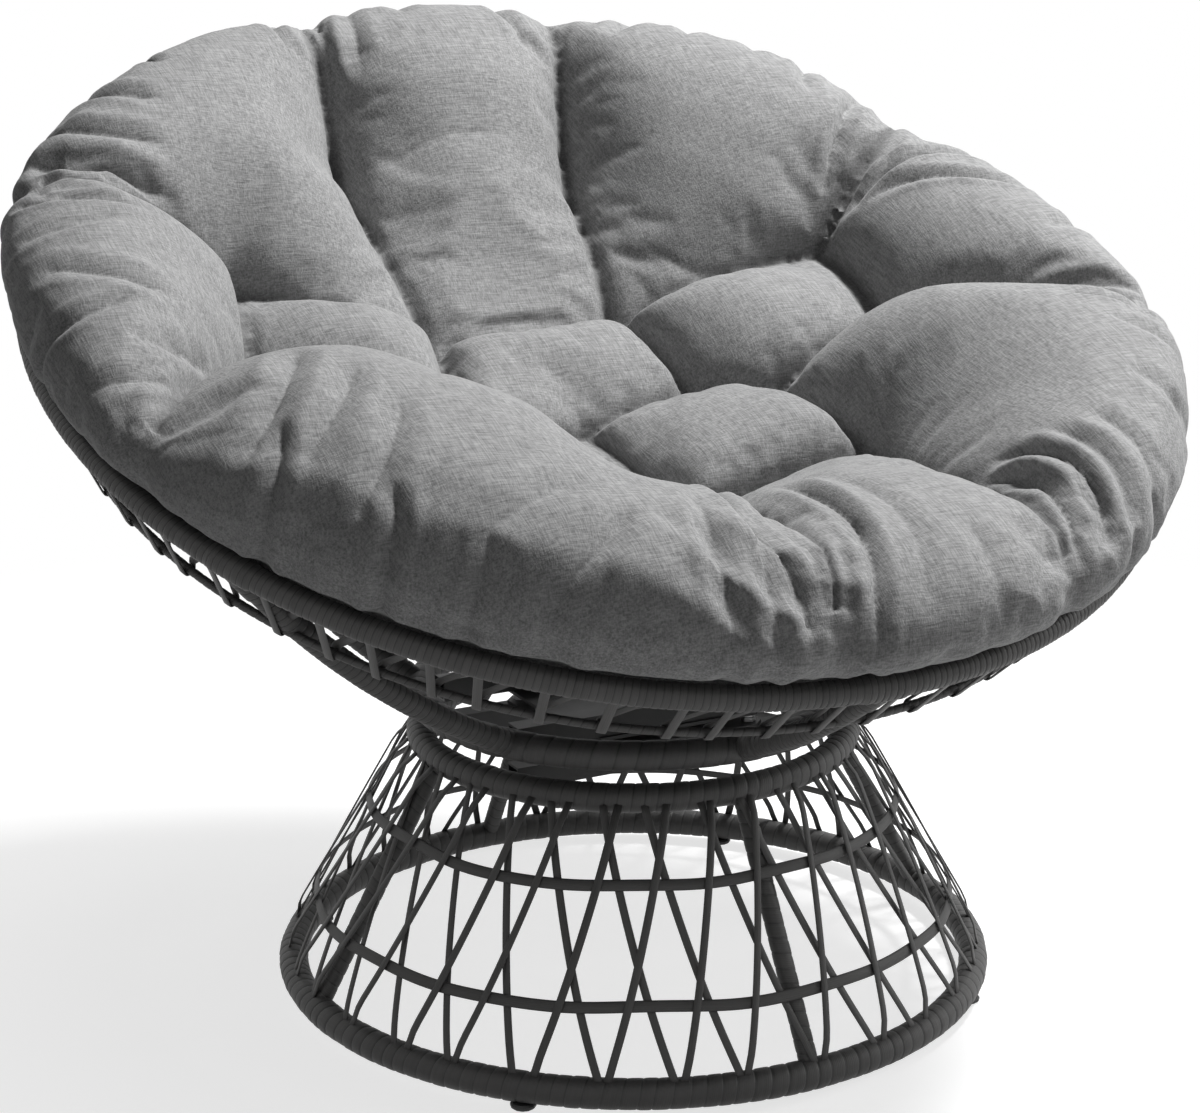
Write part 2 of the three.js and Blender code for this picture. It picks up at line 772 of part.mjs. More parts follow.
function buildBowl() {
  const bowl = new THREE.Group();
  bowl.add(namedMesh("bowl_seat_ring", ringCore(rings.seat), "steel"));
  bowl.add(namedMesh("bowl_seat_ring_wrap", ringWrap(rings.seat, eighthTurn), "wrap"));
  bowl.add(namedMesh("bowl_rim_ring", placeInRimFrame(ringCore(rings.rim)), "steel"));
  const rimWrap = ringWrap(rings.rim, eighthTurn);
  bowl.add(namedMesh("bowl_rim_wrap", placeInRimFrame(rimWrap), "wrap"));
  for (let i = 0; i < ribCount; i += 1) {
    const angle = (fullTurn * i) / ribCount;
    const next = (fullTurn * (i + 1)) / ribCount;
    const start = ribAtHoop(angle);
    const end = ribAtHoop(next);
    bowl.add(namedMesh(`bowl_rib_${i + 1}`, bowlRib(angle), "wrap"));
    bowl.add(namedMesh(`bowl_hoop_${i + 1}`, placeInRimFrame(bowlHoop(start, end)), "wicker"));
    const lacing = bowlLacing(angle, next, start.hoopAngle, end.hoopAngle);
    bowl.add(namedMesh(`bowl_lacing_${i + 1}`, placeInRimFrame(lacing), "wicker"));
  }
  return bowl;
}

// Sewn tufts of the cushion: share of its radius, and degrees round from the front.
const innerTuftShares = {
  backLeft: [0.3, 220],
  backRight: [0.32, 145],
  right: [0.22, 90],
  front: [0.33, 3],
  left: [0.29, 290],
};

// Channels round the cushion: degrees where each reaches the edge, the point where it bends
// on its way in, the inner tuft where it ends, whether a seam runs across from its bend to the
// next one's, and whether it is pulled down at all: the long front roll runs on over one line.
const radialChannels = [
  { edge: 348, outerShare: 0.37, outer: 2, inner: "front", acrossNext: true, pulled: true },
  { edge: 20, outerShare: 0.495, outer: 52, inner: "right", acrossNext: false, pulled: true },
  { edge: 75, outerShare: 0.62, outer: 93, inner: "right", acrossNext: true, pulled: true },
  { edge: 118, outerShare: 0.68, outer: 115, inner: "backRight", acrossNext: false, pulled: true },
  { edge: 162, outerShare: 0.6, outer: 159, inner: "backRight", acrossNext: false, pulled: true },
  { edge: 192, outerShare: 0.64, outer: 202, inner: "backLeft", acrossNext: false, pulled: true },
  { edge: 245, outerShare: 0.64, outer: 239, inner: "backLeft", acrossNext: true, pulled: true },
  { edge: 290, outerShare: 0.6, outer: 259, inner: "left", acrossNext: false, pulled: true },
  { edge: 319, outerShare: 0.6, outer: 312, inner: "left", acrossNext: false, pulled: false },
];

function onCushion(share, degrees) {
  const angle = THREE.MathUtils.degToRad(degrees);
  return polar(share * cushionRadius, angle, 0);
}

const channels = radialChannels.map((channel) => ({
  edge: channel.edge,
  acrossNext: channel.acrossNext,
  pulled: channel.pulled,
  edgeAt: onCushion(1, channel.edge),
  outerAt: onCushion(channel.outerShare, channel.outer),
  innerAt: onCushion(...innerTuftShares[channel.inner]),
}));

function nextChannel(index) {
  return channels[(index + 1) % channels.length];
}

// Seam lines, each a pair of points: the channels, and the seams across between tufts.
const seamLines = channels.flatMap((channel, i) => {
  const next = nextChannel(i);
  const lines = [];
  if (channel.pulled) {
    lines.push([channel.edgeAt, channel.outerAt], [channel.outerAt, channel.innerAt]);
  }
  if (channel.innerAt.distanceTo(next.innerAt) > 0) {
    lines.push([channel.innerAt, next.innerAt]);
  }
  if (channel.acrossNext) {
    lines.push([channel.outerAt, next.outerAt]);
  }
  return lines;
});

function seamDistance(point) {
  const nearest = new THREE.Vector3();
  return Math.min(...seamLines.map(([a, b]) => {
    new THREE.Line3(a, b).closestPointToPoint(point, true, nearest);
    return nearest.distanceTo(point);
  }));
}

// Heights of the top, from the middle to the edge: share of the radius, then share of the
// crown's height on a lobe, and in a seam.
const topProfileShares = [
  [0, -0.5, -0.95],
  [0.15, -0.52, -0.95],
  [0.3, -0.46, -0.95],
  [0.4, -0.28, -0.8],
  [0.5, -0.02, -0.62],
  [0.6, 0.32, -0.38],
  [0.7, 0.72, 0],
  [0.78, 0.94, 0.36],
  [0.86, 1, 0.58],
  [0.93, 0.86, 0.6],
  [0.98, 0.6, 0.5],
  [1, 0.4, 0.38],
];
const undersideShares = [
  [0.92, 0.03],
  [0.9, 0.12],
  [0.835, 0.29],
  [0.775, 0.41],
  [0.58, 0.69],
  [0.33, 0.9],
];
const columnsPerLobe = 6;
const innerRowShares = [1 / 3, 2 / 3, 1];
const middleRowShares = [0.3, 0.65, 1];
const outerRowShares = [0.2, 0.42, 0.64, 0.84, 1];

function topHeight(point) {
  const share = Math.min(Math.hypot(point.x, point.y) / cushionRadius, 1);
  let i = 1;
  while (topProfileShares[i][0] < share) {
    i += 1;
  }
  const [startShare, startLobe, startSeam] = topProfileShares[i - 1];
  const [endShare, endLobe, endSeam] = topProfileShares[i];
  const part = (share - startShare) / (endShare - startShare);
  const lobe = startLobe + (endLobe - startLobe) * part;
  const seam = startSeam + (endSeam - startSeam) * part;
  const near = Math.min(seamDistance(point) / channelHalfWidth, 1);
  const fullness = Math.sqrt(1 - (1 - near) * (1 - near));
  return crownHeight * (seam + (lobe - seam) * fullness);
}

// Rows of the cushion's top at one column, from the middle out, in three zones: to the
// inner tufts, to the outer tufts and to the edge.
function topColumn(index, part) {
  const channel = channels[index];
  const next = nextChannel(index);
  const inner = channel.innerAt.clone().lerp(next.innerAt, part);
  const outer = channel.outerAt.clone().lerp(next.outerAt, part);
  const lastEdge = next.edge > channel.edge ? next.edge : next.edge + fullDegrees;
  const edge = onCushion(1, channel.edge + (lastEdge - channel.edge) * part);
  const middle = new THREE.Vector3();
  const column = [
    ...innerRowShares.map((share) => middle.clone().lerp(inner, share)),
    ...middleRowShares.map((share) => inner.clone().lerp(outer, share)),
    ...outerRowShares.map((share) => outer.clone().lerp(edge, share)),
  ];
  for (const point of column) {
    point.z = topHeight(point);
  }
  return { column, edge };
}

// Rows of the side and the underside: they step round the rim that the cushion lies on.
function sideColumn(edge) {
  const seat = rimWrapRadius + rimSeatGap;
  const seatX = seat * Math.sin(halfTurn / ringSides);
  const seatZ = seat * Math.cos(halfTurn / ringSides);
  const innerSide = rimRadius - rimWrapRadius - rimSeatGap - strapThickness;
  const out = edge.clone().normalize();
  const at = (radius, height) => out.clone().multiplyScalar(radius).setZ(height);
  return [
    at(cushionRadius - strapWidth, (crownHeight * edgeHeightShare + seatZ) / 2),
    at(rimRadius + seatX, seatZ),
    at(rimRadius - seatX, seatZ),
    at(innerSide, seatX),
    ...undersideShares.map(([share, depth]) => at(share * cushionRadius, -depth * cushionDepth)),
  ];
}

function cushion() {
  const columns = channels.flatMap((channel, index) => {
    const lobe = [];
    for (let i = 0; i < columnsPerLobe; i += 1) {
      const { column, edge } = topColumn(index, i / columnsPerLobe);
      lobe.push([...column, ...sideColumn(edge)]);
    }
    return lobe;
  });
  const triangles = [];
  const top = new THREE.Vector3(0, 0, topHeight(new THREE.Vector3()));
  const bottom = new THREE.Vector3(0, 0, -cushionDepth);
  columns.forEach((column, i) => {
    const next = columns[(i + 1) % columns.length];
    triangles.push(top, column[0], next[0]);
    for (let j = 0; j < column.length - 1; j += 1) {
      triangles.push(column[j], column[j + 1], next[j]);
      triangles.push(next[j], column[j + 1], next[j + 1]);
    }
    triangles.push(bottom, next.at(-1), column.at(-1));
  });
  return solidFromTriangles(triangles);
}

const chair = new THREE.Group();
chair.add(buildBase());
chair.add(buildLowerSwivel());
chair.add(buildUpperSwivel());
chair.add(buildBowl());
chair.add(namedMesh("cushion", placeInRimFrame(cushion()), "fabric"));

export default chair;
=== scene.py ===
import math

import bpy
import numpy as np
from mathutils import Matrix, Vector


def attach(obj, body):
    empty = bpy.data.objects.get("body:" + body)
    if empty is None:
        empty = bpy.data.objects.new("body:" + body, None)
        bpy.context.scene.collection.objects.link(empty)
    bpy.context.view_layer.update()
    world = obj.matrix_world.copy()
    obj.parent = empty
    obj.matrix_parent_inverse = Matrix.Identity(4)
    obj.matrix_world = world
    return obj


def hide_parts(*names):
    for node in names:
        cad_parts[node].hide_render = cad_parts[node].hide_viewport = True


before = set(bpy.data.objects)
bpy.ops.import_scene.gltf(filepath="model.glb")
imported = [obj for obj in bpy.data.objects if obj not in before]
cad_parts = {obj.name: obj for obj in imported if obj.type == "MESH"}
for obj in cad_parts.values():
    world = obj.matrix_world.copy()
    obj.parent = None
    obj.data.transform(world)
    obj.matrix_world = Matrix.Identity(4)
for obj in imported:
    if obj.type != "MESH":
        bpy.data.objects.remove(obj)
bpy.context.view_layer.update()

bl_info = {
    "name": "Papasan chair",
    "version": (1, 0, 0),
    "blender": (4, 5, 0),
    "location": "View3D > Sidebar > Chair",
    "description": "Wicker windings, lacing, tufted cushion and studio of a swivel papasan chair",
    "category": "Add Mesh",
}

FULL_TURN = 2 * math.pi

# Where the rings stand, in metres: the swivel's axis, and each ring's centre line
AXIS_Y = -0.052
FLOOR_RING = (0.3117, 0.0181)
TOP_RING = (0.1919, 0.2293)
SEAT_RING = (0.1919, 0.2664)
RIM_RADIUS = 0.5
RIM_CENTRE = np.array([0.0, 0.0083, 0.5703])
RIM_TILT = math.radians(22.47)

# Cone of the base, from the floor ring up to the top ring
BASE_SLANT = math.atan2(TOP_RING[1] - FLOOR_RING[1], TOP_RING[0] - FLOOR_RING[0])
BASE_SLANT_LENGTH = math.hypot(TOP_RING[1] - FLOOR_RING[1], TOP_RING[0] - FLOOR_RING[0])
BASE_STATIONS = 32
INNER_LAYER = 0.0096
HOOP_LAYER = 0.0121
OUTER_LAYER = 0.0146
HOOP_RISES = {"base_hoop_lower": 0.058, "base_hoop_upper": 0.146}
LEG_ANGLES = {"front": 0, "right": 90, "back": 180, "left": 270}

# Cone of the bowl's lacing, from the rim down to the bowl's hoop
BOWL_HOOP_INSET = 0.033
BOWL_HOOP_DROP = 0.061
BOWL_SLANT = math.atan2(-BOWL_HOOP_DROP, -BOWL_HOOP_INSET)
BOWL_SLANT_LENGTH = math.hypot(BOWL_HOOP_DROP, BOWL_HOOP_INSET)
RIB_ARC_RADIUS = 0.85
RIB_COUNT = 6
STATIONS_PER_BAY = 11

# Steps across one turn of a winding, as shares of the band: close together at its edges. The
# powers set how flat the band's back is and how narrow the painted shade between two turns,
# and the lift of a turn is so many times more uneven than its width
BAND_STEPS = np.array([0.0, 0.06, 0.15, 0.35, 0.65, 0.85, 0.94])
BAND_FLATNESS = 6
GAP_SHADE_NARROWNESS = 12
LIFT_UNEVENNESS = 2.5

# Section of a strand, as shares of half its width and half its thickness
STRAP_PROFILE = np.array([
    (1.0, 0.0), (0.82, 0.85), (0.0, 1.0), (-0.82, 0.85),
    (-1.0, 0.0), (-0.82, -0.85), (0.0, -1.0), (0.82, -0.85),
])

# Distance between the fine ribs along a strand
RIB_SPACING = 0.00165

# Strands: how uneven their widths are, the furthest along the pattern that one starts, in
# metres, and the tint of an even one
WIDTH_UNEVENNESS = 0.08
LONGEST_START = 5
EVEN_TINT = 0.6

# Sides of a wound tube: a base or seat ring, a thinner tube, the bowl's thin hoop
RING_SIDES = 18
TUBE_SIDES = 14
HOOP_SIDES = 10

# Points along the centre line of a leg and a rib
LEG_SAMPLES = 30
RIB_SAMPLES = 80

# Radius of the windings, and how far a turn stands over the gap beside it
LEG_WRAP = (0.0078, 0.0005)
RIB_WRAP = (0.0097, 0.0006)
BOWL_HOOP_WRAP = (0.0033, 0.0004)
BOWL_HOOP_PITCH = 0.009

# How uneven the turns are on the thick rings and on the rim
RING_UNEVENNESS = 0.18
RIM_UNEVENNESS = 0.12

# Bindings where the ribs meet the rim: height, and distances at which they start and end to
# fade, from the rib's middle on the rim and from the rib's end on the rib
RIM_BINDING = (0.0011, 0.017, 0.021)
RIB_BINDING = (0.0012, 0.028, 0.033)

# Wavy hoops of the base: how far they stray along the slant and outwards, and the waves
HOOP_STRAY = (0.0045, (3, 5, 8, 13))
HOOP_SWAY = (0.0004, (7, 16))
HOOP_SAMPLES = 240

# Strands of the base: points along one, gap from its ends to the rings' centre lines, the
# layer where it ends and the distances over which it draws in to that, half the gap between
# the feet of two strands, and how far they bow sideways
STRAND_SAMPLES = 26
STRAND_GAP = 0.005
END_LAYER = 0.0085
ENDS_DRAWN_IN = (0.004, 0.03)
FOOT = 0.004
BOW = 0.004

# Strands of the bowl: layer on both sides of the hoop, points along each side and round the
# bend, gap from the ends to the rim's centre line, share of a pitch that the way back has
# moved on at its start, and how far a strand strays, as a share of a pitch
BOWL_LAYER = 0.0052
BOWL_SIDE_SAMPLES = 8
BOWL_BEND_SAMPLES = 9
BOWL_STRAND_GAP = 0.006
BOWL_FIRST_LEAN = 0.08
BOWL_UNEVENNESS = 0.16

# Wound rings: name, ring, how much its tube is thicker, field of its pitch, body, node, seed
WOUND_RINGS = (
    ("floor_ring_winding", FLOOR_RING, 0.0, "floor_pitch", "base", "base_floor_ring_wrap", 11),
    ("top_ring_winding", TOP_RING, -0.0006, "top_pitch", "base", "base_top_ring_wrap", 12),
    ("seat_ring_winding", SEAT_RING, 0.0, "seat_pitch", "bowl", "bowl_seat_ring_wrap", 13),
)

# Cushion: share of its radius and degrees round from the front of each inner tuft
CUSHION_RADIUS = 0.515
INNER_TUFTS = {
    "back left": (0.3, 220),
    "back right": (0.305, 145),
    "right": (0.22, 94),
    "fork": (0.34, 80),
    "front": (0.05, 340),
    "left": (0.29, 290),
}

# Channels of the cushion: degrees at the edge, share and degrees of the bend, the inner tuft
# where it ends, whether a seam runs across from its bend to the next one's, and how far it
# rises between edge and bend in millimetres
CHANNELS = (
    (353, 0.37, 2, "front", True, 78),
    (19, 0.495, 52, "fork", False, 40),
    (75, 0.62, 93, "fork", True, 8),
    (118, 0.68, 115, "back right", False, 30),
    (162, 0.6, 159, "back right", False, 12),
    (192, 0.64, 202, "back left", False, 12),
    (245, 0.64, 239, "back left", True, 25),
    (290, 0.6, 259, "left", False, 8),
)

# Folds of the cover, each a curve: share of the radius and degrees from the front of its
# start, of the point it bends towards and of its end, then depth and width in millimetres
FOLDS = (
    # The pinched fan at the bend of the right rear channel
    (0.69, 114, 0.86, 113, 0.99, 107, 13, 6), (0.69, 117, 0.84, 122, 0.98, 124, 12, 6),
    (0.71, 112, 0.84, 106, 0.95, 99, 9, 6), (0.84, 127, 0.93, 131, 0.99, 131, 8, 7),
    (0.87, 118, 0.93, 119, 1.0, 117, 7, 6),
    # Rear right lobe and the channel between it and the back
    (0.8, 165, 0.9, 168, 1.0, 169, 8, 7), (0.86, 155, 0.93, 154, 1.0, 151, 8, 8),
    (0.9, 146, 0.95, 146, 1.0, 144, 6, 7), (0.91, 138, 0.95, 138, 1.0, 136, 6, 7),
    # Back lobe: a soft hollow across its middle, and the pinches at the top
    (0.62, 200, 0.6, 186, 0.6, 172, 9, 30), (0.74, 196, 0.88, 196, 0.99, 190, 11, 7),
    (0.78, 192, 0.9, 189, 1.0, 186, 6, 7), (0.9, 181, 0.95, 181, 1.0, 180, 5, 8),
    (0.42, 188, 0.38, 182, 0.36, 176, 7, 22),
    # Rear left lobe
    (0.8, 200, 0.9, 199, 1.0, 197, 8, 6), (0.84, 226, 0.92, 228, 1.0, 227, 8, 8),
    (0.78, 233, 0.9, 237, 1.0, 235, 10, 8), (0.74, 238, 0.88, 243, 1.0, 241, 11, 8),
    (0.91, 218, 0.95, 218, 1.0, 217, 5, 6),
    # Left lobe
    (0.78, 249, 0.9, 251, 0.99, 250, 8, 6), (0.82, 253, 0.9, 257, 0.98, 258, 6, 7),
    (0.76, 268, 0.86, 268, 0.96, 265, 9, 9), (0.84, 271, 0.93, 274, 1.02, 273, 8, 6),
    (0.7, 271, 0.8, 277, 0.88, 278, 8, 7), (0.86, 283, 0.93, 284, 1.0, 282, 6, 7),
    # The long front left roll
    (0.68, 287, 0.82, 296, 0.94, 299, 11, 9), (0.88, 299, 0.95, 303, 1.02, 304, 8, 6),
    (0.68, 297, 0.8, 303, 0.92, 304, 8, 8), (0.72, 306, 0.84, 311, 0.96, 311, 7, 9),
    (0.9, 312, 0.96, 315, 1.02, 315, 8, 6), (0.8, 335, 0.9, 333, 0.99, 329, 9, 9),
    (0.92, 322, 0.97, 323, 1.02, 322, 5, 6), (0.74, 330, 0.85, 326, 0.95, 321, 5, 10),
    # Both sides of the front channel
    (0.46, 355, 0.7, 345, 0.99, 350.5, 11, 6), (0.66, 344, 0.84, 341.5, 1.0, 344, 6, 7),
    (0.5, 5.5, 0.72, 3, 1.0, 356.5, 11, 6), (0.58, 9, 0.78, 8, 0.97, 2, 4, 8),
    (0.7, 348.5, 0.84, 347.5, 1.0, 347.5, 5, 6),
    (0.84, 12, 0.92, 11, 1.0, 9, 4, 9),
    # The fan at the front right channel
    (0.69, 31, 0.84, 30, 0.98, 20.5, 11, 6), (0.7, 34, 0.86, 34.5, 0.99, 25, 10, 6),
    (0.77, 37, 0.9, 36, 0.99, 29, 8, 7), (0.82, 41, 0.93, 40, 1.0, 35, 6, 8),
    (0.88, 23, 0.93, 20, 1.0, 14.5, 4, 6), (0.86, 53, 0.93, 52, 1.0, 50, 4, 9),
    # The right channel
    (0.74, 81, 0.86, 80, 0.99, 78, 8, 7), (0.76, 72, 0.88, 71, 0.99, 69, 8, 7),
    (0.84, 64, 0.92, 64, 1.0, 62, 5, 8), (0.88, 89, 0.94, 90, 1.0, 90, 5, 8),
)

# Pads inside the channels, by their tufts: the number of a channel stands for its bend
PADS = (
    ("back left", "back right", "right", "front", "left"),
    ("back right", 3, 2, "fork", "right"),
    ("right", "fork", 1, 0, "front"),
    ("back left", 6, 7, "left"),
)

# Heights of the cushion's top by share of its radius, as shares of the crown: in a seam, on a
# pad, on most lobes, and on the two that stand up further inside
TOP_SHARES = (0, 0.15, 0.25, 0.32, 0.4, 0.5, 0.6, 0.7, 0.78, 0.86, 0.93, 0.98, 1)
SEAM_SHARES = (
    -0.96, -0.96, -0.96, -0.93, -0.7, -0.57, -0.44, -0.28, 0.14, 0.56, 0.76, 0.68, 0.5)
PAD_SHARES = (-0.5, -0.48, -0.26, -0.06, 0, -0.02, -0.14, -0.16, 0.05, 0.4, 0.6, 0.6, 0.5)
LOBE_SHARES = (-0.9, -0.9, -0.8, -0.68, -0.46, 0.02, 0.55, 0.88, 1, 1.04, 0.96, 0.76, 0.55)
TALL_SHARES = (-0.9, -0.7, -0.42, -0.12, 0.28, 0.68, 0.93, 1.02, 1.04, 1.04, 0.96, 0.76, 0.55)

# Degrees from the front of the middles of the tall lobes, their reach in degrees, and how
# much higher each stands, in millimetres
TALL_LOBES = ((70, 20, 0), (-54, 24, 14))

# Where the edge lies lower: middle and reach in degrees, and millimetres
LOW_EDGE = (106, 22, 17)

# Height in millimetres that a seam rises between its two tufts, and the shift in metres of
# the puckers from one seam to the next
SEAM_ARCH = 16
SEAM_SHIFT = 0.37

# Side and underside of the cushion, from the edge inwards: radius and height in the rim frame
UNDERSIDE = (
    (0.5155, 0.0405), (0.511, 0.026), (0.503, 0.0175), (0.494, 0.0145), (0.4865, 0.006),
    (0.4815, -0.008), (0.465, -0.024), (0.43, -0.0595), (0.399, -0.085), (0.299, -0.1445),
    (0.17, -0.189), (0.08, -0.205), (0.0, -0.2095),
)

CLOTH = {
    "quality": 5, "mass": 0.25, "tension_stiffness": 12, "compression_stiffness": 12,
    "shear_stiffness": 6, "bending_stiffness": 0.4, "pin_stiffness": 1.0, "use_pressure": True,
}
FILLING_FRAMES = 20
HELD_BY_SEAM = (0.003, 0.008)
HELD_BELOW = (0.03, 0.015)

# Relief of the cushion in metres: puckers along the seams, with the lengths of their waves and
# how far they reach, pleats up from the edge and their reach, the crease of a seam, its reach
# and half the width of the painted shade along it, and the welt round the edge, its height
# and half width
PUCKER = 0.0006
PUCKER_WAVES = (0.041, 0.17, 0.23)
PUCKER_REACH = 0.018
PLEAT = 0.0013
PLEAT_REACH = 0.03
CREASE = 0.0065
CREASE_REACH = 0.005
SEAM_SHADE_WIDTH = 0.0042
WELT = 0.0018
WELT_HEIGHT = 0.021
WELT_WIDTH = 0.0022

# Shares of the radius where the seams' creases end and where the welt starts
CREASE_END = 0.97
WELT_START = 0.94

# Camera at the photograph's angle
CAMERA_AT = (-1.0883, -2.0773, 1.0082)
CAMERA_FORWARD = (0.44616, 0.85604, -0.26103)
CAMERA_ROLL = -0.0038335
CAMERA_LENS = 80.34
SENSOR_WIDTH = 36.0

# Soft lights: name, place, width and watts
LIGHTS = (
    ("key_light", (1.75, 0.05, 3.4), 0.75, 182.0),
    ("side_light", (3.0, -0.9, 1.5), 1.2, 24.0),
    ("fill_light", (-1.8, -3.0, 2.2), 2.2, 4.0),
)
LIGHTS_AIM = (0.0, 0.0, 0.45)
WORLD_LIGHT = 0.07

# Floor, a disc: where it starts to turn white and over what width, its grey, and the glow that
# makes it pale for the rays that see the background
FLOOR_RADIUS = 7.0
FLOOR_SIDES = 96
FLOOR_HEIGHT = -0.0004
FLOOR_FADE = (0.45, 1.1)
FLOOR_GREY = 0.5
FLOOR_GLOW = 0.72
WHITE = (1.0, 1.0, 1.0, 1.0)


# Shapes


def polar(radius, angle, height, centre_y=0.0):
    """Points round an upright axis: x = r sin a, y = centre - r cos a, so 0 is the front and
    a quarter turn is the right."""
    radius, angle, height = np.broadcast_arrays(radius, angle, height)
    return np.stack([radius * np.sin(angle), centre_y - radius * np.cos(angle), height], axis=-1)


def turn_to_rim(vectors):
    """Directions of the rim's frame in the part's: turned about X by the rim's tilt."""
    x, y, z = vectors[..., 0], vectors[..., 1], vectors[..., 2]
    cosine, sine = math.cos(RIM_TILT), math.sin(RIM_TILT)
    return np.stack([x, y * cosine - z * sine, y * sine + z * cosine], axis=-1)


def place_in_rim(points):
    """Points of the rim's frame in the part's: turned by the tilt, then moved to its centre."""
    return turn_to_rim(points) + RIM_CENTRE


def into_rim(points):
    """Points of the part's frame in the rim's: the turn and move of place_in_rim undone."""
    moved = points - RIM_CENTRE
    x, y, z = moved[..., 0], moved[..., 1], moved[..., 2]
    cosine, sine = math.cos(RIM_TILT), math.sin(RIM_TILT)
    return np.stack([x, y * cosine + z * sine, z * cosine - y * sine], axis=-1)


def unit(vectors):
    """Vectors divided by their lengths."""
    return vectors / np.linalg.norm(vectors, axis=-1, keepdims=True)


def grid_numbers(*counts):
    """Row numbers of a grid in each of its directions, as flat arrays."""
    return [part.ravel() for part in np.meshgrid(*map(np.arange, counts), indexing="ij")]


def distances_along(points):
    """Distance along each line of points from its first point to every one."""
    steps = np.linalg.norm(np.diff(points, axis=-2), axis=-1)
    start = np.zeros((*steps.shape[:-1], 1))
    return np.concatenate([start, np.cumsum(steps, axis=-1)], axis=-1)


def on_cone(radius, height, slant, centre_y, angle, along, outside):
    """Points near a cone of a given slant, by angle, distance up the slant from its first ring
    and distance outside it, with the cone's outward direction there."""
    side = np.sign(math.sin(slant))
    out_r, out_z = side * math.sin(slant), -side * math.cos(slant)
    angle, along, outside = np.broadcast_arrays(angle, along, outside)
    points = polar(
        radius + along * math.cos(slant) + outside * out_r,
        angle,
        height + along * math.sin(slant) + outside * out_z,
        centre_y,
    )
    out = polar(np.full(angle.shape, out_r), angle, np.full(angle.shape, out_z))
    return points, out


def on_base(angle, along, outside):
    """Points and outward directions near the cone of the base."""
    return on_cone(FLOOR_RING[0], FLOOR_RING[1], BASE_SLANT, AXIS_Y, angle, along, outside)


def on_bowl(angle, along, outside):
    """Points and outward directions near the cone of the bowl's lacing, in the part's frame."""
    points, out = on_cone(RIM_RADIUS, 0.0, BOWL_SLANT, 0.0, angle, along, outside)
    return place_in_rim(points), turn_to_rim(out)


def ring_path(radius, height, centre_y=AXIS_Y, tilted=False):
    """Path once round a ring: gives centre, outward and upward directions at shares of it."""
    def at(share):
        angle = share * FULL_TURN
        flat = np.zeros(np.shape(angle))
        centre = polar(radius, angle, flat + height, centre_y)
        out = polar(1.0, angle, flat)
        up = np.zeros(out.shape)
        up[..., 2] = 1.0
        if tilted:
            return place_in_rim(centre), turn_to_rim(out), turn_to_rim(up)
        return centre, out, up
    return at, FULL_TURN * radius


def curve_path(points, across):
    """Path along a curve given by many points, with a fixed direction across it: gives centre
    and two directions square to the curve at shares of its length."""
    reached = distances_along(points)
    along = unit(np.gradient(points, axis=0))
    shares = reached / reached[-1]

    def at(share):
        centre, run = (
            np.stack([np.interp(share, shares, values[:, k]) for k in range(3)], axis=-1)
            for values in (points, along))
        run = unit(run)
        side = unit(across - run * np.sum(run * across, axis=-1, keepdims=True))
        return centre, side, np.cross(side, run)
    return at, reached[-1]


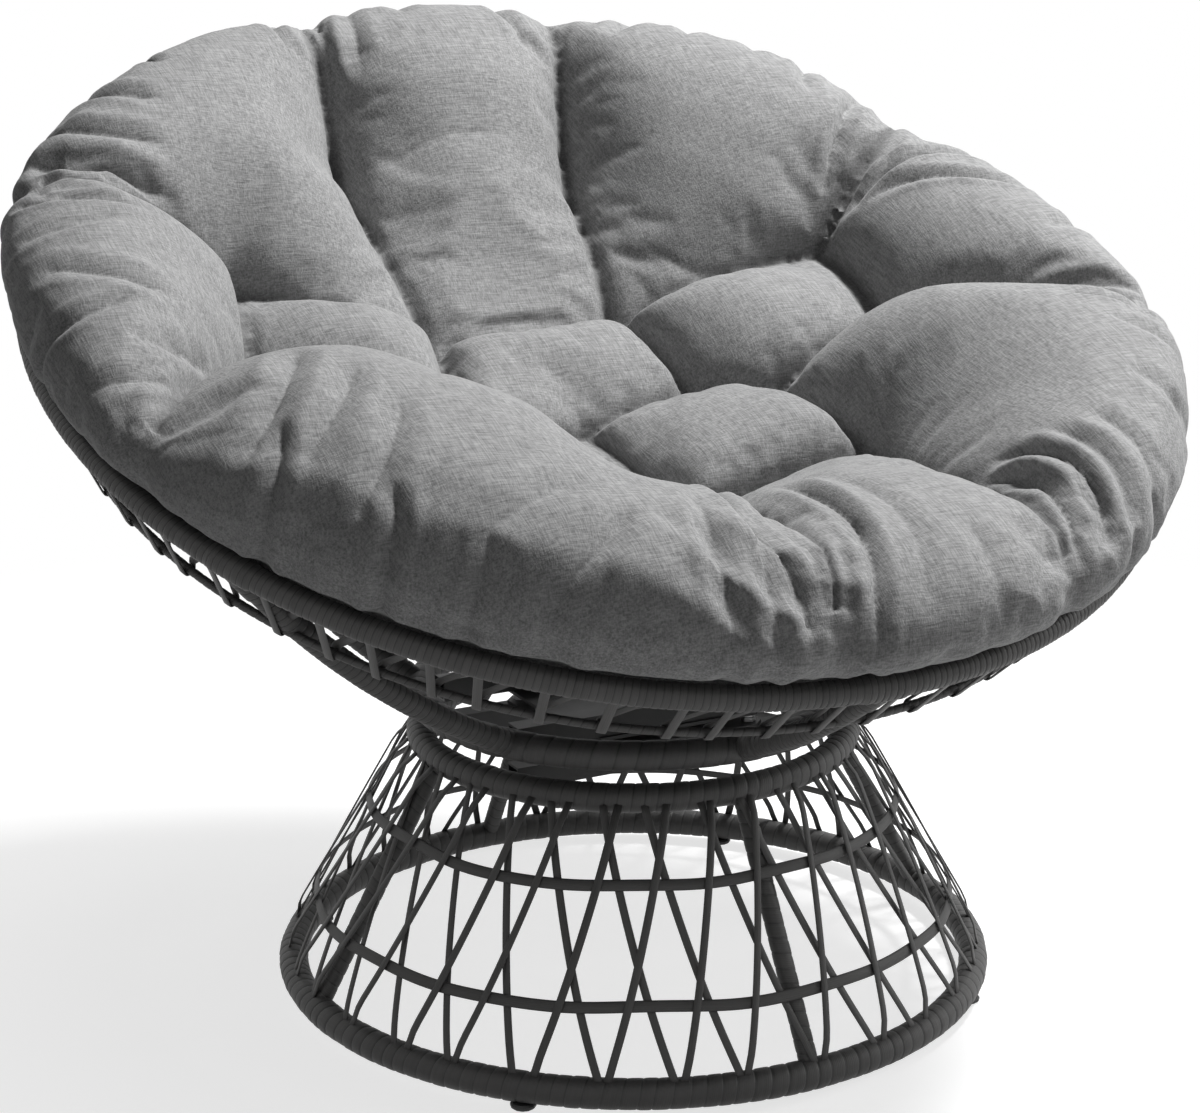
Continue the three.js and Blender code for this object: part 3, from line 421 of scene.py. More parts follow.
def wound_tube(path, length, pitch, radius, lift, columns, closed, rng, uneven=0.1, proud=None):
    """Tube wound with a flat band. Each turn of the helix is a row of the grid, sheared so
    that its edges follow the band: the share along the path is that of turn + step + a, with
    a the angle round the tube in turns, and the radius is r + lift (1 - |2 step - 1|^6),
    where each turn has a slightly different width and lift. Gives points, faces, caps, the
    map of each face corner along and across the band, tints and painted shade between turns."""
    turns = max(int(round(length / pitch)), 3)
    per_turn = len(BAND_STEPS)
    rows = turns * per_turn + (0 if closed else 1)
    row = np.arange(rows)
    turn, step = row // per_turn, BAND_STEPS[row % per_turn]
    around = np.arange(columns) / columns
    total = turns if closed else turns + 1
    widths = 1 + uneven * rng.uniform(-1, 1, total)
    knots = np.concatenate([[0.0], np.cumsum(widths)]) / widths.sum()
    lifts = 1 + LIFT_UNEVENNESS * uneven * rng.uniform(-1, 1, total + 1)
    tints = rng.uniform(0, 1, total + 1)
    ticks = np.arange(total + 1)
    if closed:
        knots = np.append(knots, 1 + knots[1])
        lifts, tints = (np.append(v[:-1], v[:2]) for v in (lifts, tints))
        ticks = np.arange(total + 2)
    phase = turn[:, None] + around[None, :]
    share = np.interp(phase + step[:, None], ticks, knots)
    share = share % 1.0 if closed else share
    from_middle = np.abs(2 * step - 1)[:, None]
    bump = lift * (1 - from_middle ** BAND_FLATNESS) * np.interp(phase, ticks, lifts)
    tube = radius + bump + (proud(share) if proud else 0.0)
    centre, out, side = path(share)
    angle = FULL_TURN * around
    points = (
        centre
        + out * (tube * np.cos(angle))[..., None]
        + side * (tube * np.sin(angle))[..., None]
    )
    tint = np.interp(phase, ticks, tints)
    # Painted shade: darker towards the band's edges, in the groove between two turns
    gap = np.broadcast_to(from_middle ** GAP_SHADE_NARROWNESS, tint.shape)

    i, a = grid_numbers(rows if closed else rows - 1, columns)
    if not closed:
        kept = i + 1 + per_turn * (a + 1 == columns) < rows
        i, a = i[kept], a[kept]
    corner_i = np.stack([i, i + 1, i + 1, i], axis=1)
    corner_a = np.stack([a, a, a + 1, a + 1], axis=1)
    corner_row = (corner_i + per_turn * (corner_a // columns)) % rows
    faces = corner_row * columns + corner_a % columns
    next_step = np.append(BAND_STEPS[1:], 1.0)
    step_at = np.stack([BAND_STEPS[i % per_turn], next_step[i % per_turn]], axis=1)
    across = step_at[:, [0, 1, 1, 0]] * pitch
    along = (turn[i][:, None] + corner_a / columns) * FULL_TURN * radius
    band = np.stack([along, across], axis=-1)

    points = points.reshape(-1, 3)
    caps = []
    if not closed:
        start = [*range(columns), *(k * columns for k in range(per_turn, 0, -1))]
        last = rows - 1
        end = [last * columns + k for k in range(columns)]
        end += [(last - k) * columns + columns - 1 for k in range(1, per_turn + 1)]
        for loop, turned in ((start, False), (end, True)):
            middle = len(points)
            points = np.vstack([points, points[loop].mean(axis=0)])
            pairs = zip(loop, loop[1:] + loop[:1])
            caps += [(middle, q, p) if turned else (middle, p, q) for p, q in pairs]
    spare = len(points) - tint.size
    tint = np.append(tint.ravel(), np.full(spare, 0.5))
    gap = np.append(gap.ravel(), np.zeros(spare))
    return points, faces, caps, band, tint, gap


def straps(centres, out, width, thickness, rng=None):
    """Flat domed straps: the strap profile carried along each row of centres, its width square
    to the run and to the outward direction. Without random numbers the straps are even and
    close on themselves. Gives what wound_tube gives."""
    count, samples = centres.shape[:2]
    sides = len(STRAP_PROFILE)
    closed = rng is None
    if closed:
        run = unit(np.roll(centres, -1, axis=1) - np.roll(centres, 1, axis=1))
        widths, starts, tints = width, 0.0, np.full(count, EVEN_TINT)
        line = np.concatenate([centres, centres[:, :1]], axis=1)
    else:
        run = unit(np.gradient(centres, axis=1))
        widths = width * (1 + WIDTH_UNEVENNESS * rng.uniform(-1, 1, (count, 1, 1, 1)))
        starts = rng.uniform(0, LONGEST_START, (count, 1))
        tints = rng.uniform(0, 1, count)
        line = centres
    across = unit(np.cross(out, run))
    face = np.cross(run, across)
    w = STRAP_PROFILE[:, :1] * widths / 2
    t = STRAP_PROFILE[:, 1:] * thickness / 2
    points = centres[:, :, None] + across[:, :, None] * w + face[:, :, None] * t

    strand, row, side = grid_numbers(count, samples if closed else samples - 1, sides)
    corner_row = np.stack([row, row + 1, row + 1, row], axis=1)
    corner_side = np.stack([side, side, side + 1, side + 1], axis=1)
    base = strand[:, None] * samples * sides
    faces = base + corner_row % samples * sides + corner_side % sides
    reached = distances_along(line) + starts
    lying = np.append(STRAP_PROFILE[:, 0], STRAP_PROFILE[0, 0]) * width / 2
    band = np.stack([reached[strand[:, None], corner_row], lying[corner_side]], axis=-1)
    caps = []
    if not closed:
        start = np.arange(count)[:, None] * samples * sides
        end = start + (samples - 1) * sides
        for quad in ((0, 1, 2, 3), (0, 3, 4, 7), (4, 5, 6, 7)):
            caps += (start + np.array(quad)).tolist()
            caps += (end + np.array(quad[::-1])).tolist()
    tint = np.repeat(tints, samples * sides)
    return points.reshape(-1, 3), faces, caps, band, tint, np.zeros(tint.size)


def signed_volume(points, faces):
    """Volume inside four-cornered faces that point outwards, below nought if they point
    inwards: a sixth of the sum of a . (b x c) + a . (c x d)."""
    a, b, c, d = (points[faces[:, k]] for k in range(4))
    return np.sum(a * (np.cross(b, c) + np.cross(c, d))) / 6


def mesh_object(name, points, faces):
    """Object at the origin with a mesh of these points and faces."""
    mesh = bpy.data.meshes.new(name)
    mesh.from_pydata(points.tolist(), [], faces)
    piece = bpy.data.objects.new(name, mesh)
    bpy.context.scene.collection.objects.link(piece)
    return piece


def place(piece, body, slot, *nodes):
    """Puts a piece on its body and hides the nodes that it stands for."""
    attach(piece, body)
    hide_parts(*nodes)


def make_wicker(name, shape, body, slot, *nodes):
    """Piece of wicker from points, faces, caps, band map, tints and painted shade between
    turns, with its faces turned outwards, in place of its nodes."""
    points, faces, caps, band, tint, gap = shape
    if signed_volume(points, faces) < 0:
        faces, band = faces[:, ::-1], band[:, ::-1]
        caps = [face[::-1] for face in caps]
    piece = mesh_object(name, points, [*faces.tolist(), *map(list, caps)])
    mesh = piece.data
    mesh.polygons.foreach_set("use_smooth", np.ones(len(mesh.polygons), bool))
    corners = np.zeros((len(mesh.loops), 2), np.float32)
    corners[: band.shape[0] * band.shape[1]] = band.reshape(-1, 2)
    layer = mesh.uv_layers.new(name="Band")
    layer.data.foreach_set("uv", corners.ravel())
    for label, values in (("tint", tint), ("gap", gap)):
        attribute = mesh.attributes.new(label, "FLOAT", "POINT")
        attribute.data.foreach_set("value", np.asarray(values, np.float32))
    mesh.materials.append(wicker())
    mesh.update()
    place(piece, body, slot, *nodes)


def joined(shapes):
    """One shape from several, their points renumbered."""
    points, faces, caps, band, tint, gap = zip(*shapes)
    starts = np.cumsum([0, *map(len, points)]).tolist()
    faces = np.concatenate([part + start for part, start in zip(faces, starts)])
    caps = [
        [corner + start for corner in face]
        for part, start in zip(caps, starts) for face in part]
    points, band, tint, gap = map(np.concatenate, (points, band, tint, gap))
    return points, faces, caps, band, tint, gap


def wavy(angle, rng, size, waves):
    """Slow uneven wave round a ring: a sum of sines of whole numbers of waves."""
    total = np.zeros(np.shape(angle))
    for count in waves:
        total = total + rng.uniform(0.4, 1) * np.sin(count * angle + rng.uniform(0, FULL_TURN))
    return size * total / len(waves)


def smooth_step(low, high, value):
    """0 below low, 1 above high, and 3x^2 - 2x^3 between."""
    x = np.clip((value - low) / (high - low), 0, 1)
    return x * x * (3 - 2 * x)


# Materials


class Value:
    """One socket of a node tree. Arithmetic on it adds Math nodes."""

    def __init__(self, recipe, socket):
        self.recipe = recipe
        self.socket = socket

    def maths(self, operation, first, second):
        return self.recipe.add("ShaderNodeMath", {"operation": operation}, {0: first, 1: second})

    def __add__(self, other):
        return self.maths("ADD", self, other)

    def __sub__(self, other):
        return self.maths("SUBTRACT", self, other)

    def __mul__(self, other):
        return self.maths("MULTIPLY", self, other)

    def __truediv__(self, other):
        return self.maths("DIVIDE", self, other)

    def __radd__(self, other):
        return self.maths("ADD", other, self)

    def __rmul__(self, other):
        return self.maths("MULTIPLY", other, self)


class Recipe:
    """The node tree of a new material or world, and the calls that add to it."""

    def __init__(self, name, kind="materials"):
        self.owner = getattr(bpy.data, kind).new(name)
        self.owner.use_nodes = True
        self.tree = self.owner.node_tree
        self.tree.nodes.clear()

    def add(self, kind, settings=None, inputs=None, output=0):
        """Adds a node, sets its settings, then values or links of its sockets."""
        node = self.tree.nodes.new(kind)
        for key, value in (settings or {}).items():
            setattr(node, key, value)
        for key, value in (inputs or {}).items():
            if isinstance(value, Value):
                self.tree.links.new(value.socket, node.inputs[key])
            else:
                node.inputs[key].default_value = value
        return Value(self, node.outputs[output])

    def attribute(self, name):
        return self.add("ShaderNodeAttribute", {"attribute_name": name}, output="Fac")

    def object_point(self):
        return self.add("ShaderNodeTexCoord", output="Object")

    def band_point(self):
        return self.add("ShaderNodeUVMap", {"uv_map": "Band"})

    def noise(self, vector, scale=1.0, detail=2.0):
        """Noise at a scale, or one for each axis, with finer noise on it."""
        if isinstance(scale, tuple):
            vector = self.add(
                "ShaderNodeVectorMath", {"operation": "MULTIPLY"}, {0: vector, 1: scale})
            scale = 1.0
        inputs = {"Vector": vector, "Scale": scale, "Detail": detail}
        return self.add("ShaderNodeTexNoise", None, inputs)

    def between(self, factor, *ends):
        """Colour mixed from two by a factor, where a name stands for one of the chair's."""
        colours = bpy.context.scene.chair_colours
        first, second = (
            (*getattr(colours, end), 1.0) if isinstance(end, str) else end for end in ends)
        inputs = {"Factor": factor, 6: first, 7: second}
        return self.add("ShaderNodeMix", {"data_type": "RGBA"}, inputs, output=2)

    def clamped(self, value):
        """A value held between 0 and 1."""
        settings = {"operation": "ADD", "use_clamp": True}
        return self.add("ShaderNodeMath", settings, {0: value, 1: 0.0})

    def bump(self, height, strength, distance):
        """Relief of a height between 0 and 1, in metres."""
        inputs = {"Strength": strength, "Distance": distance, "Height": height}
        return self.add("ShaderNodeBump", None, inputs)

    def surface(self, **inputs):
        """The material, with one surface of these sockets, an underscore for each space."""
        named = {key.replace("_", " "): value for key, value in inputs.items()}
        return self.finish(self.add("ShaderNodeBsdfPrincipled", None, named))

    def finish(self, surface, output="ShaderNodeOutputMaterial"):
        """Links the surface to the output and gives the material or the world."""
        node = self.tree.nodes.new(output)
        self.tree.links.new(surface.socket, node.inputs["Surface"])
        return self.owner


def once(make):
    """Makes a material at its first use and gives the same one afterwards."""
    kept = []

    def give():
        if not kept:
            kept.append(make())
        return kept[0]
    return give


@once
def wicker():
    """Resin wicker: flat charcoal strand with fine ribs and fibres along it, a tint of its own
    for each strand or turn, and painted shade in the grooves between turns."""
    recipe = Recipe("wicker")
    band = recipe.band_point()
    across = recipe.add("ShaderNodeSeparateXYZ", None, {0: band}, output="Y")
    fibres = recipe.noise(band, (45.0, 1500.0, 0.0), 3.0)
    streaks = recipe.noise(band, (9.0, 320.0, 0.0))
    ribs = recipe.add(
        "ShaderNodeMath", {"operation": "COSINE"}, {0: across * (FULL_TURN / RIB_SPACING)})
    patches = recipe.noise(recipe.object_point(), 14.0, 3.0)
    tint = recipe.attribute("tint")
    lightness = recipe.clamped(0.45 * tint + 0.55 * streaks + 0.5 * fibres - 0.28)
    colour = recipe.between(lightness, "wicker_dark", "wicker_light")
    worn = recipe.clamped(ribs * 0.5 + patches * 1.6 - 1.15)
    colour = recipe.between(worn * 0.35, colour, "wicker_worn")
    # Painted shade: darkened in the grooves between turns of a winding
    colour = recipe.between(recipe.attribute("gap") * 0.85, colour, "wicker_gap_shade")
    height = ribs * 0.12 + fibres * 0.4 + streaks * 0.3
    return recipe.surface(
        Base_Color=colour,
        Roughness=0.42 + fibres * 0.2 + patches * 0.12,
        Specular_IOR_Level=0.45,
        Normal=recipe.bump(height, 0.55, 0.0005))


@once
def painted_steel():
    """Powder-coated black steel with a fine orange peel and dust."""
    recipe = Recipe("painted_steel")
    point = recipe.object_point()
    dust = recipe.noise(point, 22.0, 4.0)
    return recipe.surface(
        Base_Color=recipe.between(recipe.clamped(dust * 1.4 - 0.45), "steel", "steel_dust"),
        Roughness=0.34 + dust * 0.25,
        Normal=recipe.bump(recipe.noise(point, 900.0, 1.0), 0.4, 0.0002))


@once
def zinc():
    """Zinc plating with faint spangles and dull patches."""
    recipe = Recipe("zinc")
    point = recipe.object_point()
    spangle = recipe.add("ShaderNodeTexVoronoi", None, {"Vector": point, "Scale": 240.0})
    dull = recipe.noise(point, 60.0, 3.0)
    bright = recipe.clamped(spangle * 0.5 + dull * 0.5)
    return recipe.surface(
        Base_Color=recipe.between(bright, "zinc_dark", "zinc_light"),
        Metallic=1.0,
        Roughness=0.28 + dull * 0.3)


@once
def foot_plastic():
    """Moulded black plastic with a fine grain."""
    recipe = Recipe("foot_plastic")
    point = recipe.object_point()
    scuffs = recipe.noise(point, 120.0, 3.0)
    worn = recipe.clamped(scuffs * 1.6 - 0.8)
    return recipe.surface(
        Base_Color=recipe.between(worn, "plastic", "plastic_worn"),
        Roughness=0.5 + scuffs * 0.2,
        Normal=recipe.bump(recipe.noise(point, 1600.0), 0.3, 0.0002))


@once
def linen():
    """Heathered upholstery cloth: light and dark threads crossing along two directions, slubs,
    and painted shade in the seams' creases and along the welt."""
    recipe = Recipe("linen")
    point = recipe.object_point()
    laid = recipe.add(
        "ShaderNodeMapping", None, {"Vector": point, "Rotation": (-RIM_TILT, 0.0, 0.0)})
    warp, weft, slubs, cross_slubs = (
        recipe.noise(laid, stretch, 1.0) for stretch in (
            (950.0, 75.0, 500.0), (75.0, 950.0, 700.0),
            (480.0, 32.0, 200.0), (32.0, 480.0, 300.0)))
    patches = recipe.noise(point, 9.0, 3.0)
    threads = warp + weft + 0.6 * slubs + 0.6 * cross_slubs + 0.25 * patches
    lightness = recipe.clamped((threads - 1.725) * 1.2 + 0.5)
    colour = recipe.between(lightness, "fabric_dark", "fabric_light")
    return recipe.surface(
        # Painted shade: darker in the seams' creases and along the welt's groove
        Base_Color=recipe.between(recipe.attribute("seam") * 0.5, colour, "fabric_painted_seam_shade"),
        Roughness=0.86 + 0.1 * warp,
        Specular_IOR_Level=0.25,
        Sheen_Weight=0.12,
        Sheen_Roughness=0.45,
        Normal=recipe.bump(warp + weft + 0.5 * slubs, 0.35, 0.0006))


# Properties


def length(name, description, default):
    """Setting in metres."""
    return bpy.props.FloatProperty(
        name=name, description=description, default=default, unit="LENGTH", precision=4)


def colour_of(name, description, grey, warmth=0.0):
    """Colour setting: a grey with this share more red and less blue."""
    default = (grey * (1 + warmth), grey, grey * (1 - warmth))
    return bpy.props.FloatVectorProperty(
        name=name, description=description, default=default, subtype="COLOR", size=3,
        min=0.0, max=1.0)


class WickerSizes(bpy.types.PropertyGroup):
    """Sizes of the windings and the lacing."""

    wrap_radius: length("Wrap radius", "Radius of a wrapped ring", 0.0124)
    rim_radius: length("Rim wrap radius", "Radius of the wrapped rim", 0.01)
    rim_pitch: length("Rim pitch", "Width of one turn on the rim", 0.0058)
    rib_pitch: length("Rib pitch", "Width of one turn on a rib", 0.0078)
    floor_pitch: length("Floor ring pitch", "Width of one turn on the floor ring", 0.0132)
    top_pitch: length("Top ring pitch", "Width of one turn on the top ring", 0.0118)
    seat_pitch: length("Seat ring pitch", "Width of one turn on the seat ring", 0.0195)
    leg_pitch: length("Leg pitch", "Width of one turn on a leg", 0.0125)
    lift: length("Turn lift", "How far a turn stands over the gap beside it", 0.0007)
    strand_width: length("Strand width", "Width of a strand of the base", 0.0068)
    bowl_strand_width: length("Bowl strand width", "Width of a strand of the bowl", 0.0078)
    strand_thickness: length("Strand thickness", "Thickness of a strand", 0.0017)
    hoop_width: length("Hoop width", "Width of the base's hoops", 0.0098)
    lean: bpy.props.FloatProperty(
        name="Lean", description="How far round a strand leans from the floor ring to the top",
        default=math.radians(13), unit="ROTATION")
    unevenness: bpy.props.FloatProperty(
        name="Unevenness", description="How far round a strand strays from its station",
        default=math.radians(1.6), unit="ROTATION")


class CushionSizes(bpy.types.PropertyGroup):
    """Sizes of the cushion before it is filled."""

    crown: length("Crown", "Height of the lobes over the rim", 0.092)
    pad_width: length("Pad width", "Distance from the seams at which a pad is full", 0.07)
    lobe_width: length("Lobe width", "Distance from the seams at which a lobe is full", 0.11)
    seam_floor: length("Seam floor", "Half the width of the bottom of a seam", 0.003)
    shoulder: length("Shoulder", "How far the lobes bulge out over the edge", 0.014)
    notch: length("Notch", "How far the edge pulls in at a channel", 0.01)
    voxel: length("Voxel", "Width of a face of the cloth before its subdivision", 0.0055)
    swell: length("Swell", "Furthest that the filling moves the cloth", 0.014)
    pressure: bpy.props.FloatProperty(
        name="Pressure", description="Pressure of the filling", default=4.0)
    fullness: bpy.props.FloatProperty(
        name="Spare cloth", description="Share by which the cloth is larger than its form",
        default=0.02)


class ChairColours(bpy.types.PropertyGroup):
    """Colours of the finishes."""

    wicker_dark: colour_of("Wicker, dark", "Darkest strands", 0.035, 0.02)
    wicker_light: colour_of("Wicker, light", "Lightest strands", 0.088, 0.02)
    wicker_worn: colour_of("Wicker, worn", "Rubbed ribs of the strands", 0.14, 0.03)
    # Painted shade in the grooves between turns, not a colour of the strands
    wicker_gap_shade: colour_of("Wicker, gap", "Between turns", 0.008)
    fabric_dark: colour_of("Cloth, dark thread", "Dark threads", 0.165, -0.005)
    fabric_light: colour_of("Cloth, light thread", "Light threads", 0.37, 0.0)
    # Painted shade in the seams' creases and along the welt, not a colour of the cloth
    fabric_painted_seam_shade: colour_of("Cloth, seam", "Cloth in the seams", 0.05)
    steel: colour_of("Steel", "Painted steel", 0.012)
    steel_dust: colour_of("Steel, dust", "Dust on the painted steel", 0.035, 0.04)
    zinc_dark: colour_of("Zinc, dark", "Dull plating", 0.36)
    zinc_light: colour_of("Zinc, light", "Bright plating", 0.62)
    plastic: colour_of("Plastic", "Glide feet", 0.015)
    plastic_worn: colour_of("Plastic, worn", "Scuffs of the glide feet", 0.05)


# Operators


class CHAIR_OT_ring_windings(bpy.types.Operator):
    """Winds the floor ring, the top ring and the seat ring with wide bands"""

    bl_idname = "chair.ring_windings"
    bl_label = "Ring windings"

    def execute(self, context):
        sizes = context.scene.wicker_sizes
        for name, (radius, height), thicker, pitch, body, node, seed in WOUND_RINGS:
            path, around = ring_path(radius, height)
            shape = wound_tube(
                path, around, getattr(sizes, pitch), sizes.wrap_radius + thicker, sizes.lift,
                RING_SIDES, True, np.random.default_rng(seed), uneven=RING_UNEVENNESS)
            make_wicker(name, shape, body, "wrap", node)
        return {"FINISHED"}


class CHAIR_OT_base_legs(bpy.types.Operator):
    """Winds the four legs inside the lacing of the base"""

    bl_idname = "chair.base_legs"
    bl_label = "Base legs"

    def execute(self, context):
        sizes = context.scene.wicker_sizes
        for number, (side, degrees) in enumerate(LEG_ANGLES.items()):
            angle = math.radians(degrees)
            points, _ = on_base(angle, np.linspace(0.0, BASE_SLANT_LENGTH, LEG_SAMPLES), 0.0)
            path, distance = curve_path(points, polar(1.0, angle + FULL_TURN / 4, 0.0))
            shape = wound_tube(
                path, distance, sizes.leg_pitch, *LEG_WRAP, TUBE_SIDES, False,
                np.random.default_rng(20 + number))
            make_wicker(f"leg_{side}_winding", shape, "base", "wrap", f"base_leg_{side}")
        return {"FINISHED"}


class CHAIR_OT_base_hoops(bpy.types.Operator):
    """Lays the two flat wavy hoops between the layers of the base's lacing"""

    bl_idname = "chair.base_hoops"
    bl_label = "Base hoops"

    def execute(self, context):
        sizes = context.scene.wicker_sizes
        angle = np.linspace(0, FULL_TURN, HOOP_SAMPLES, endpoint=False)
        for number, (node, rise) in enumerate(HOOP_RISES.items()):
            rng = np.random.default_rng(30 + number)
            along = rise / math.sin(BASE_SLANT) + wavy(angle, rng, *HOOP_STRAY)
            outside = HOOP_LAYER + wavy(angle, rng, *HOOP_SWAY)
            points, out = on_base(angle, along, outside)
            shape = straps(points[None], out[None], sizes.hoop_width, sizes.strand_thickness)
            make_wicker(f"{node}_strand", shape, "base", "wicker", node)
        return {"FINISHED"}


class CHAIR_OT_base_strands(bpy.types.Operator):
    """Laces the base: strands up outside the hoops with one lean, and down inside them with
    the other, their ends drawn into the windings of the rings"""

    bl_idname = "chair.base_strands"
    bl_label = "Base strands"

    def execute(self, context):
        sizes = context.scene.wicker_sizes
        pitch = FULL_TURN / BASE_STATIONS
        half = BASE_STATIONS // 2
        foot = FOOT / FLOOR_RING[0]
        share = np.linspace(0, 1, STRAND_SAMPLES)[None, :]
        along = STRAND_GAP + share * (BASE_SLANT_LENGTH - 2 * STRAND_GAP)
        clear = smooth_step(*ENDS_DRAWN_IN, along)
        clear = clear * smooth_step(*ENDS_DRAWN_IN, BASE_SLANT_LENGTH - along)
        strands = [(side, start) for side in ("right", "left") for start in (1, 2)]
        for number, (side, start) in enumerate(strands):
            rng = np.random.default_rng(40 + number)
            first = (half if side == "left" else 0) + start - 1
            stations = (first + np.arange(0, half, 2))[:, None]
            stray = sizes.unevenness * rng.uniform(-1, 1, (4, half // 2, 1))
            bow = wavy(share * math.pi, rng, BOW, (1, 2))
            up = stations * pitch + foot + stray[0] * (1 - share) + stray[1] * share
            down = (stations + 2) * pitch - foot + stray[2] * (1 - share) + stray[3] * share
            shapes = []
            for angle, layer in (
                    (up + sizes.lean * share + bow, OUTER_LAYER),
                    (down - sizes.lean * share - bow, INNER_LAYER)):
                outside = END_LAYER + (layer - END_LAYER) * clear
                points, out = on_base(angle, along, outside)
                shapes.append(straps(
                    points, out, sizes.strand_width, sizes.strand_thickness, rng))
            make_wicker(
                f"base_strand_{side}_{start}", joined(shapes), "base", "wicker",
                f"base_lacing_{side}_{start}")
        return {"FINISHED"}


class CHAIR_OT_bowl_rim(bpy.types.Operator):
    """Winds the rim finely, with prouder bindings where the ribs meet it"""

    bl_idname = "chair.bowl_rim"
    bl_label = "Bowl rim"

    def execute(self, context):
        sizes = context.scene.wicker_sizes
        path, around = ring_path(RIM_RADIUS, 0.0, 0.0, tilted=True)

        def proud(share):
            bay = share * RIB_COUNT
            apart = np.abs(bay - np.round(bay)) * around / RIB_COUNT
            return binding(apart, *RIM_BINDING)

        shape = wound_tube(
            path, around, sizes.rim_pitch, sizes.rim_radius, sizes.lift, TUBE_SIDES, True,
            np.random.default_rng(50), uneven=RIM_UNEVENNESS, proud=proud)
        make_wicker("bowl_rim_winding", shape, "bowl", "wrap", "bowl_rim_wrap")
        return {"FINISHED"}


def binding(away, height, low, high):
    """Height of a binding: full up to a low distance from its middle, nothing past a high."""
    return height * (1 - smooth_step(low, high, away))


def rib_points(angle):
    """Centre line of a rib: an arc of one radius from the seat ring to the rim, bellied
    down and outwards in its own upright plane."""
    foot = polar(SEAT_RING[0], angle, SEAT_RING[1], AXIS_Y)
    head = place_in_rim(polar(RIM_RADIUS, angle, 0.0))
    reach = np.linalg.norm(head - foot)
    chord = (head - foot) / reach
    down = np.array([0.0, 0.0, -1.0])
    down = unit(down - chord * np.dot(down, chord))
    to_centre = math.sqrt(RIB_ARC_RADIUS ** 2 - reach ** 2 / 4)
    half_angle = math.asin(reach / 2 / RIB_ARC_RADIUS)
    turn = half_angle * np.linspace(-1, 1, RIB_SAMPLES)[:, None]
    return (
        (foot + head) / 2
        + down * (RIB_ARC_RADIUS * np.cos(turn) - to_centre)
        + chord * RIB_ARC_RADIUS * np.sin(turn)
    )


class CHAIR_OT_bowl_ribs(bpy.types.Operator):
    """Winds the six ribs, and binds each to the rim and to the seat ring"""

    bl_idname = "chair.bowl_ribs"
    bl_label = "Bowl ribs"

    def execute(self, context):
        sizes = context.scene.wicker_sizes
        for index in range(RIB_COUNT):
            angle = FULL_TURN * index / RIB_COUNT
            across = polar(1.0, angle + FULL_TURN / 4, 0.0)
            path, distance = curve_path(rib_points(angle), across)

            def proud(share):
                return binding(np.minimum(share, 1 - share) * distance, *RIB_BINDING)

            shape = wound_tube(
                path, distance, sizes.rib_pitch, *RIB_WRAP, TUBE_SIDES, False,
                np.random.default_rng(60 + index), proud=proud)
            make_wicker(
                f"rib_{index + 1}_winding", shape, "bowl", "wrap", f"bowl_rib_{index + 1}")
        return {"FINISHED"}


class CHAIR_OT_bowl_lacing(bpy.types.Operator):
    """Lays the thin hoop under the rim and laces it to the rim, one strand to a station"""

    bl_idname = "chair.bowl_lacing"
    bl_label = "Bowl lacing"

    def execute(self, context):
        sizes = context.scene.wicker_sizes
        path, around = ring_path(
            RIM_RADIUS - BOWL_HOOP_INSET, -BOWL_HOOP_DROP, 0.0, tilted=True)
        shape = wound_tube(
            path, around, BOWL_HOOP_PITCH, *BOWL_HOOP_WRAP, HOOP_SIDES, True,
            np.random.default_rng(70))
        hoops = [f"bowl_hoop_{index + 1}" for index in range(RIB_COUNT)]
        make_wicker("bowl_hoop_winding", shape, "bowl", "wicker", *hoops)

        bay = FULL_TURN / RIB_COUNT
        count = STATIONS_PER_BAY
        pitch = bay / count
        side, bend = BOWL_SIDE_SAMPLES, np.linspace(math.pi / 2, -math.pi / 2, BOWL_BEND_SAMPLES)
        straight = np.linspace(BOWL_STRAND_GAP, BOWL_SLANT_LENGTH, side + 1)[:-1]
        ones, zeros = np.ones(side), np.zeros(side)
        along = np.concatenate([
            straight, BOWL_SLANT_LENGTH + BOWL_LAYER * np.cos(bend), straight[::-1]])
        turned = np.concatenate([ones, np.sin(bend), -ones])
        ahead = np.concatenate([zeros, np.cos(bend), zeros])
        advance = np.concatenate([
            np.zeros(side + len(bend)), np.linspace(BOWL_FIRST_LEAN, 1, side)])
        goes_on = (np.arange(count) < count - 1)[:, None]
        for index in range(RIB_COUNT):
            rng = np.random.default_rng(71 + index)
            stations = (index * bay + (np.arange(count) + 0.5) * pitch)[:, None]
            stray = pitch * BOWL_UNEVENNESS * rng.uniform(-1, 1, (2, count, 1))
            angle = stations + stray[0] + (pitch * goes_on + stray[1]) * advance
            points, out = on_bowl(angle, along, BOWL_LAYER * turned)
            further, _ = on_bowl(angle, along + 0.001, BOWL_LAYER * turned)
            facing = unit(out * turned[:, None] + unit(further - points) * ahead[:, None])
            shape = straps(
                points, facing, sizes.bowl_strand_width, sizes.strand_thickness, rng)
            make_wicker(
                f"bowl_strand_{index + 1}", shape, "bowl", "wicker",
                f"bowl_lacing_{index + 1}")
        return {"FINISHED"}


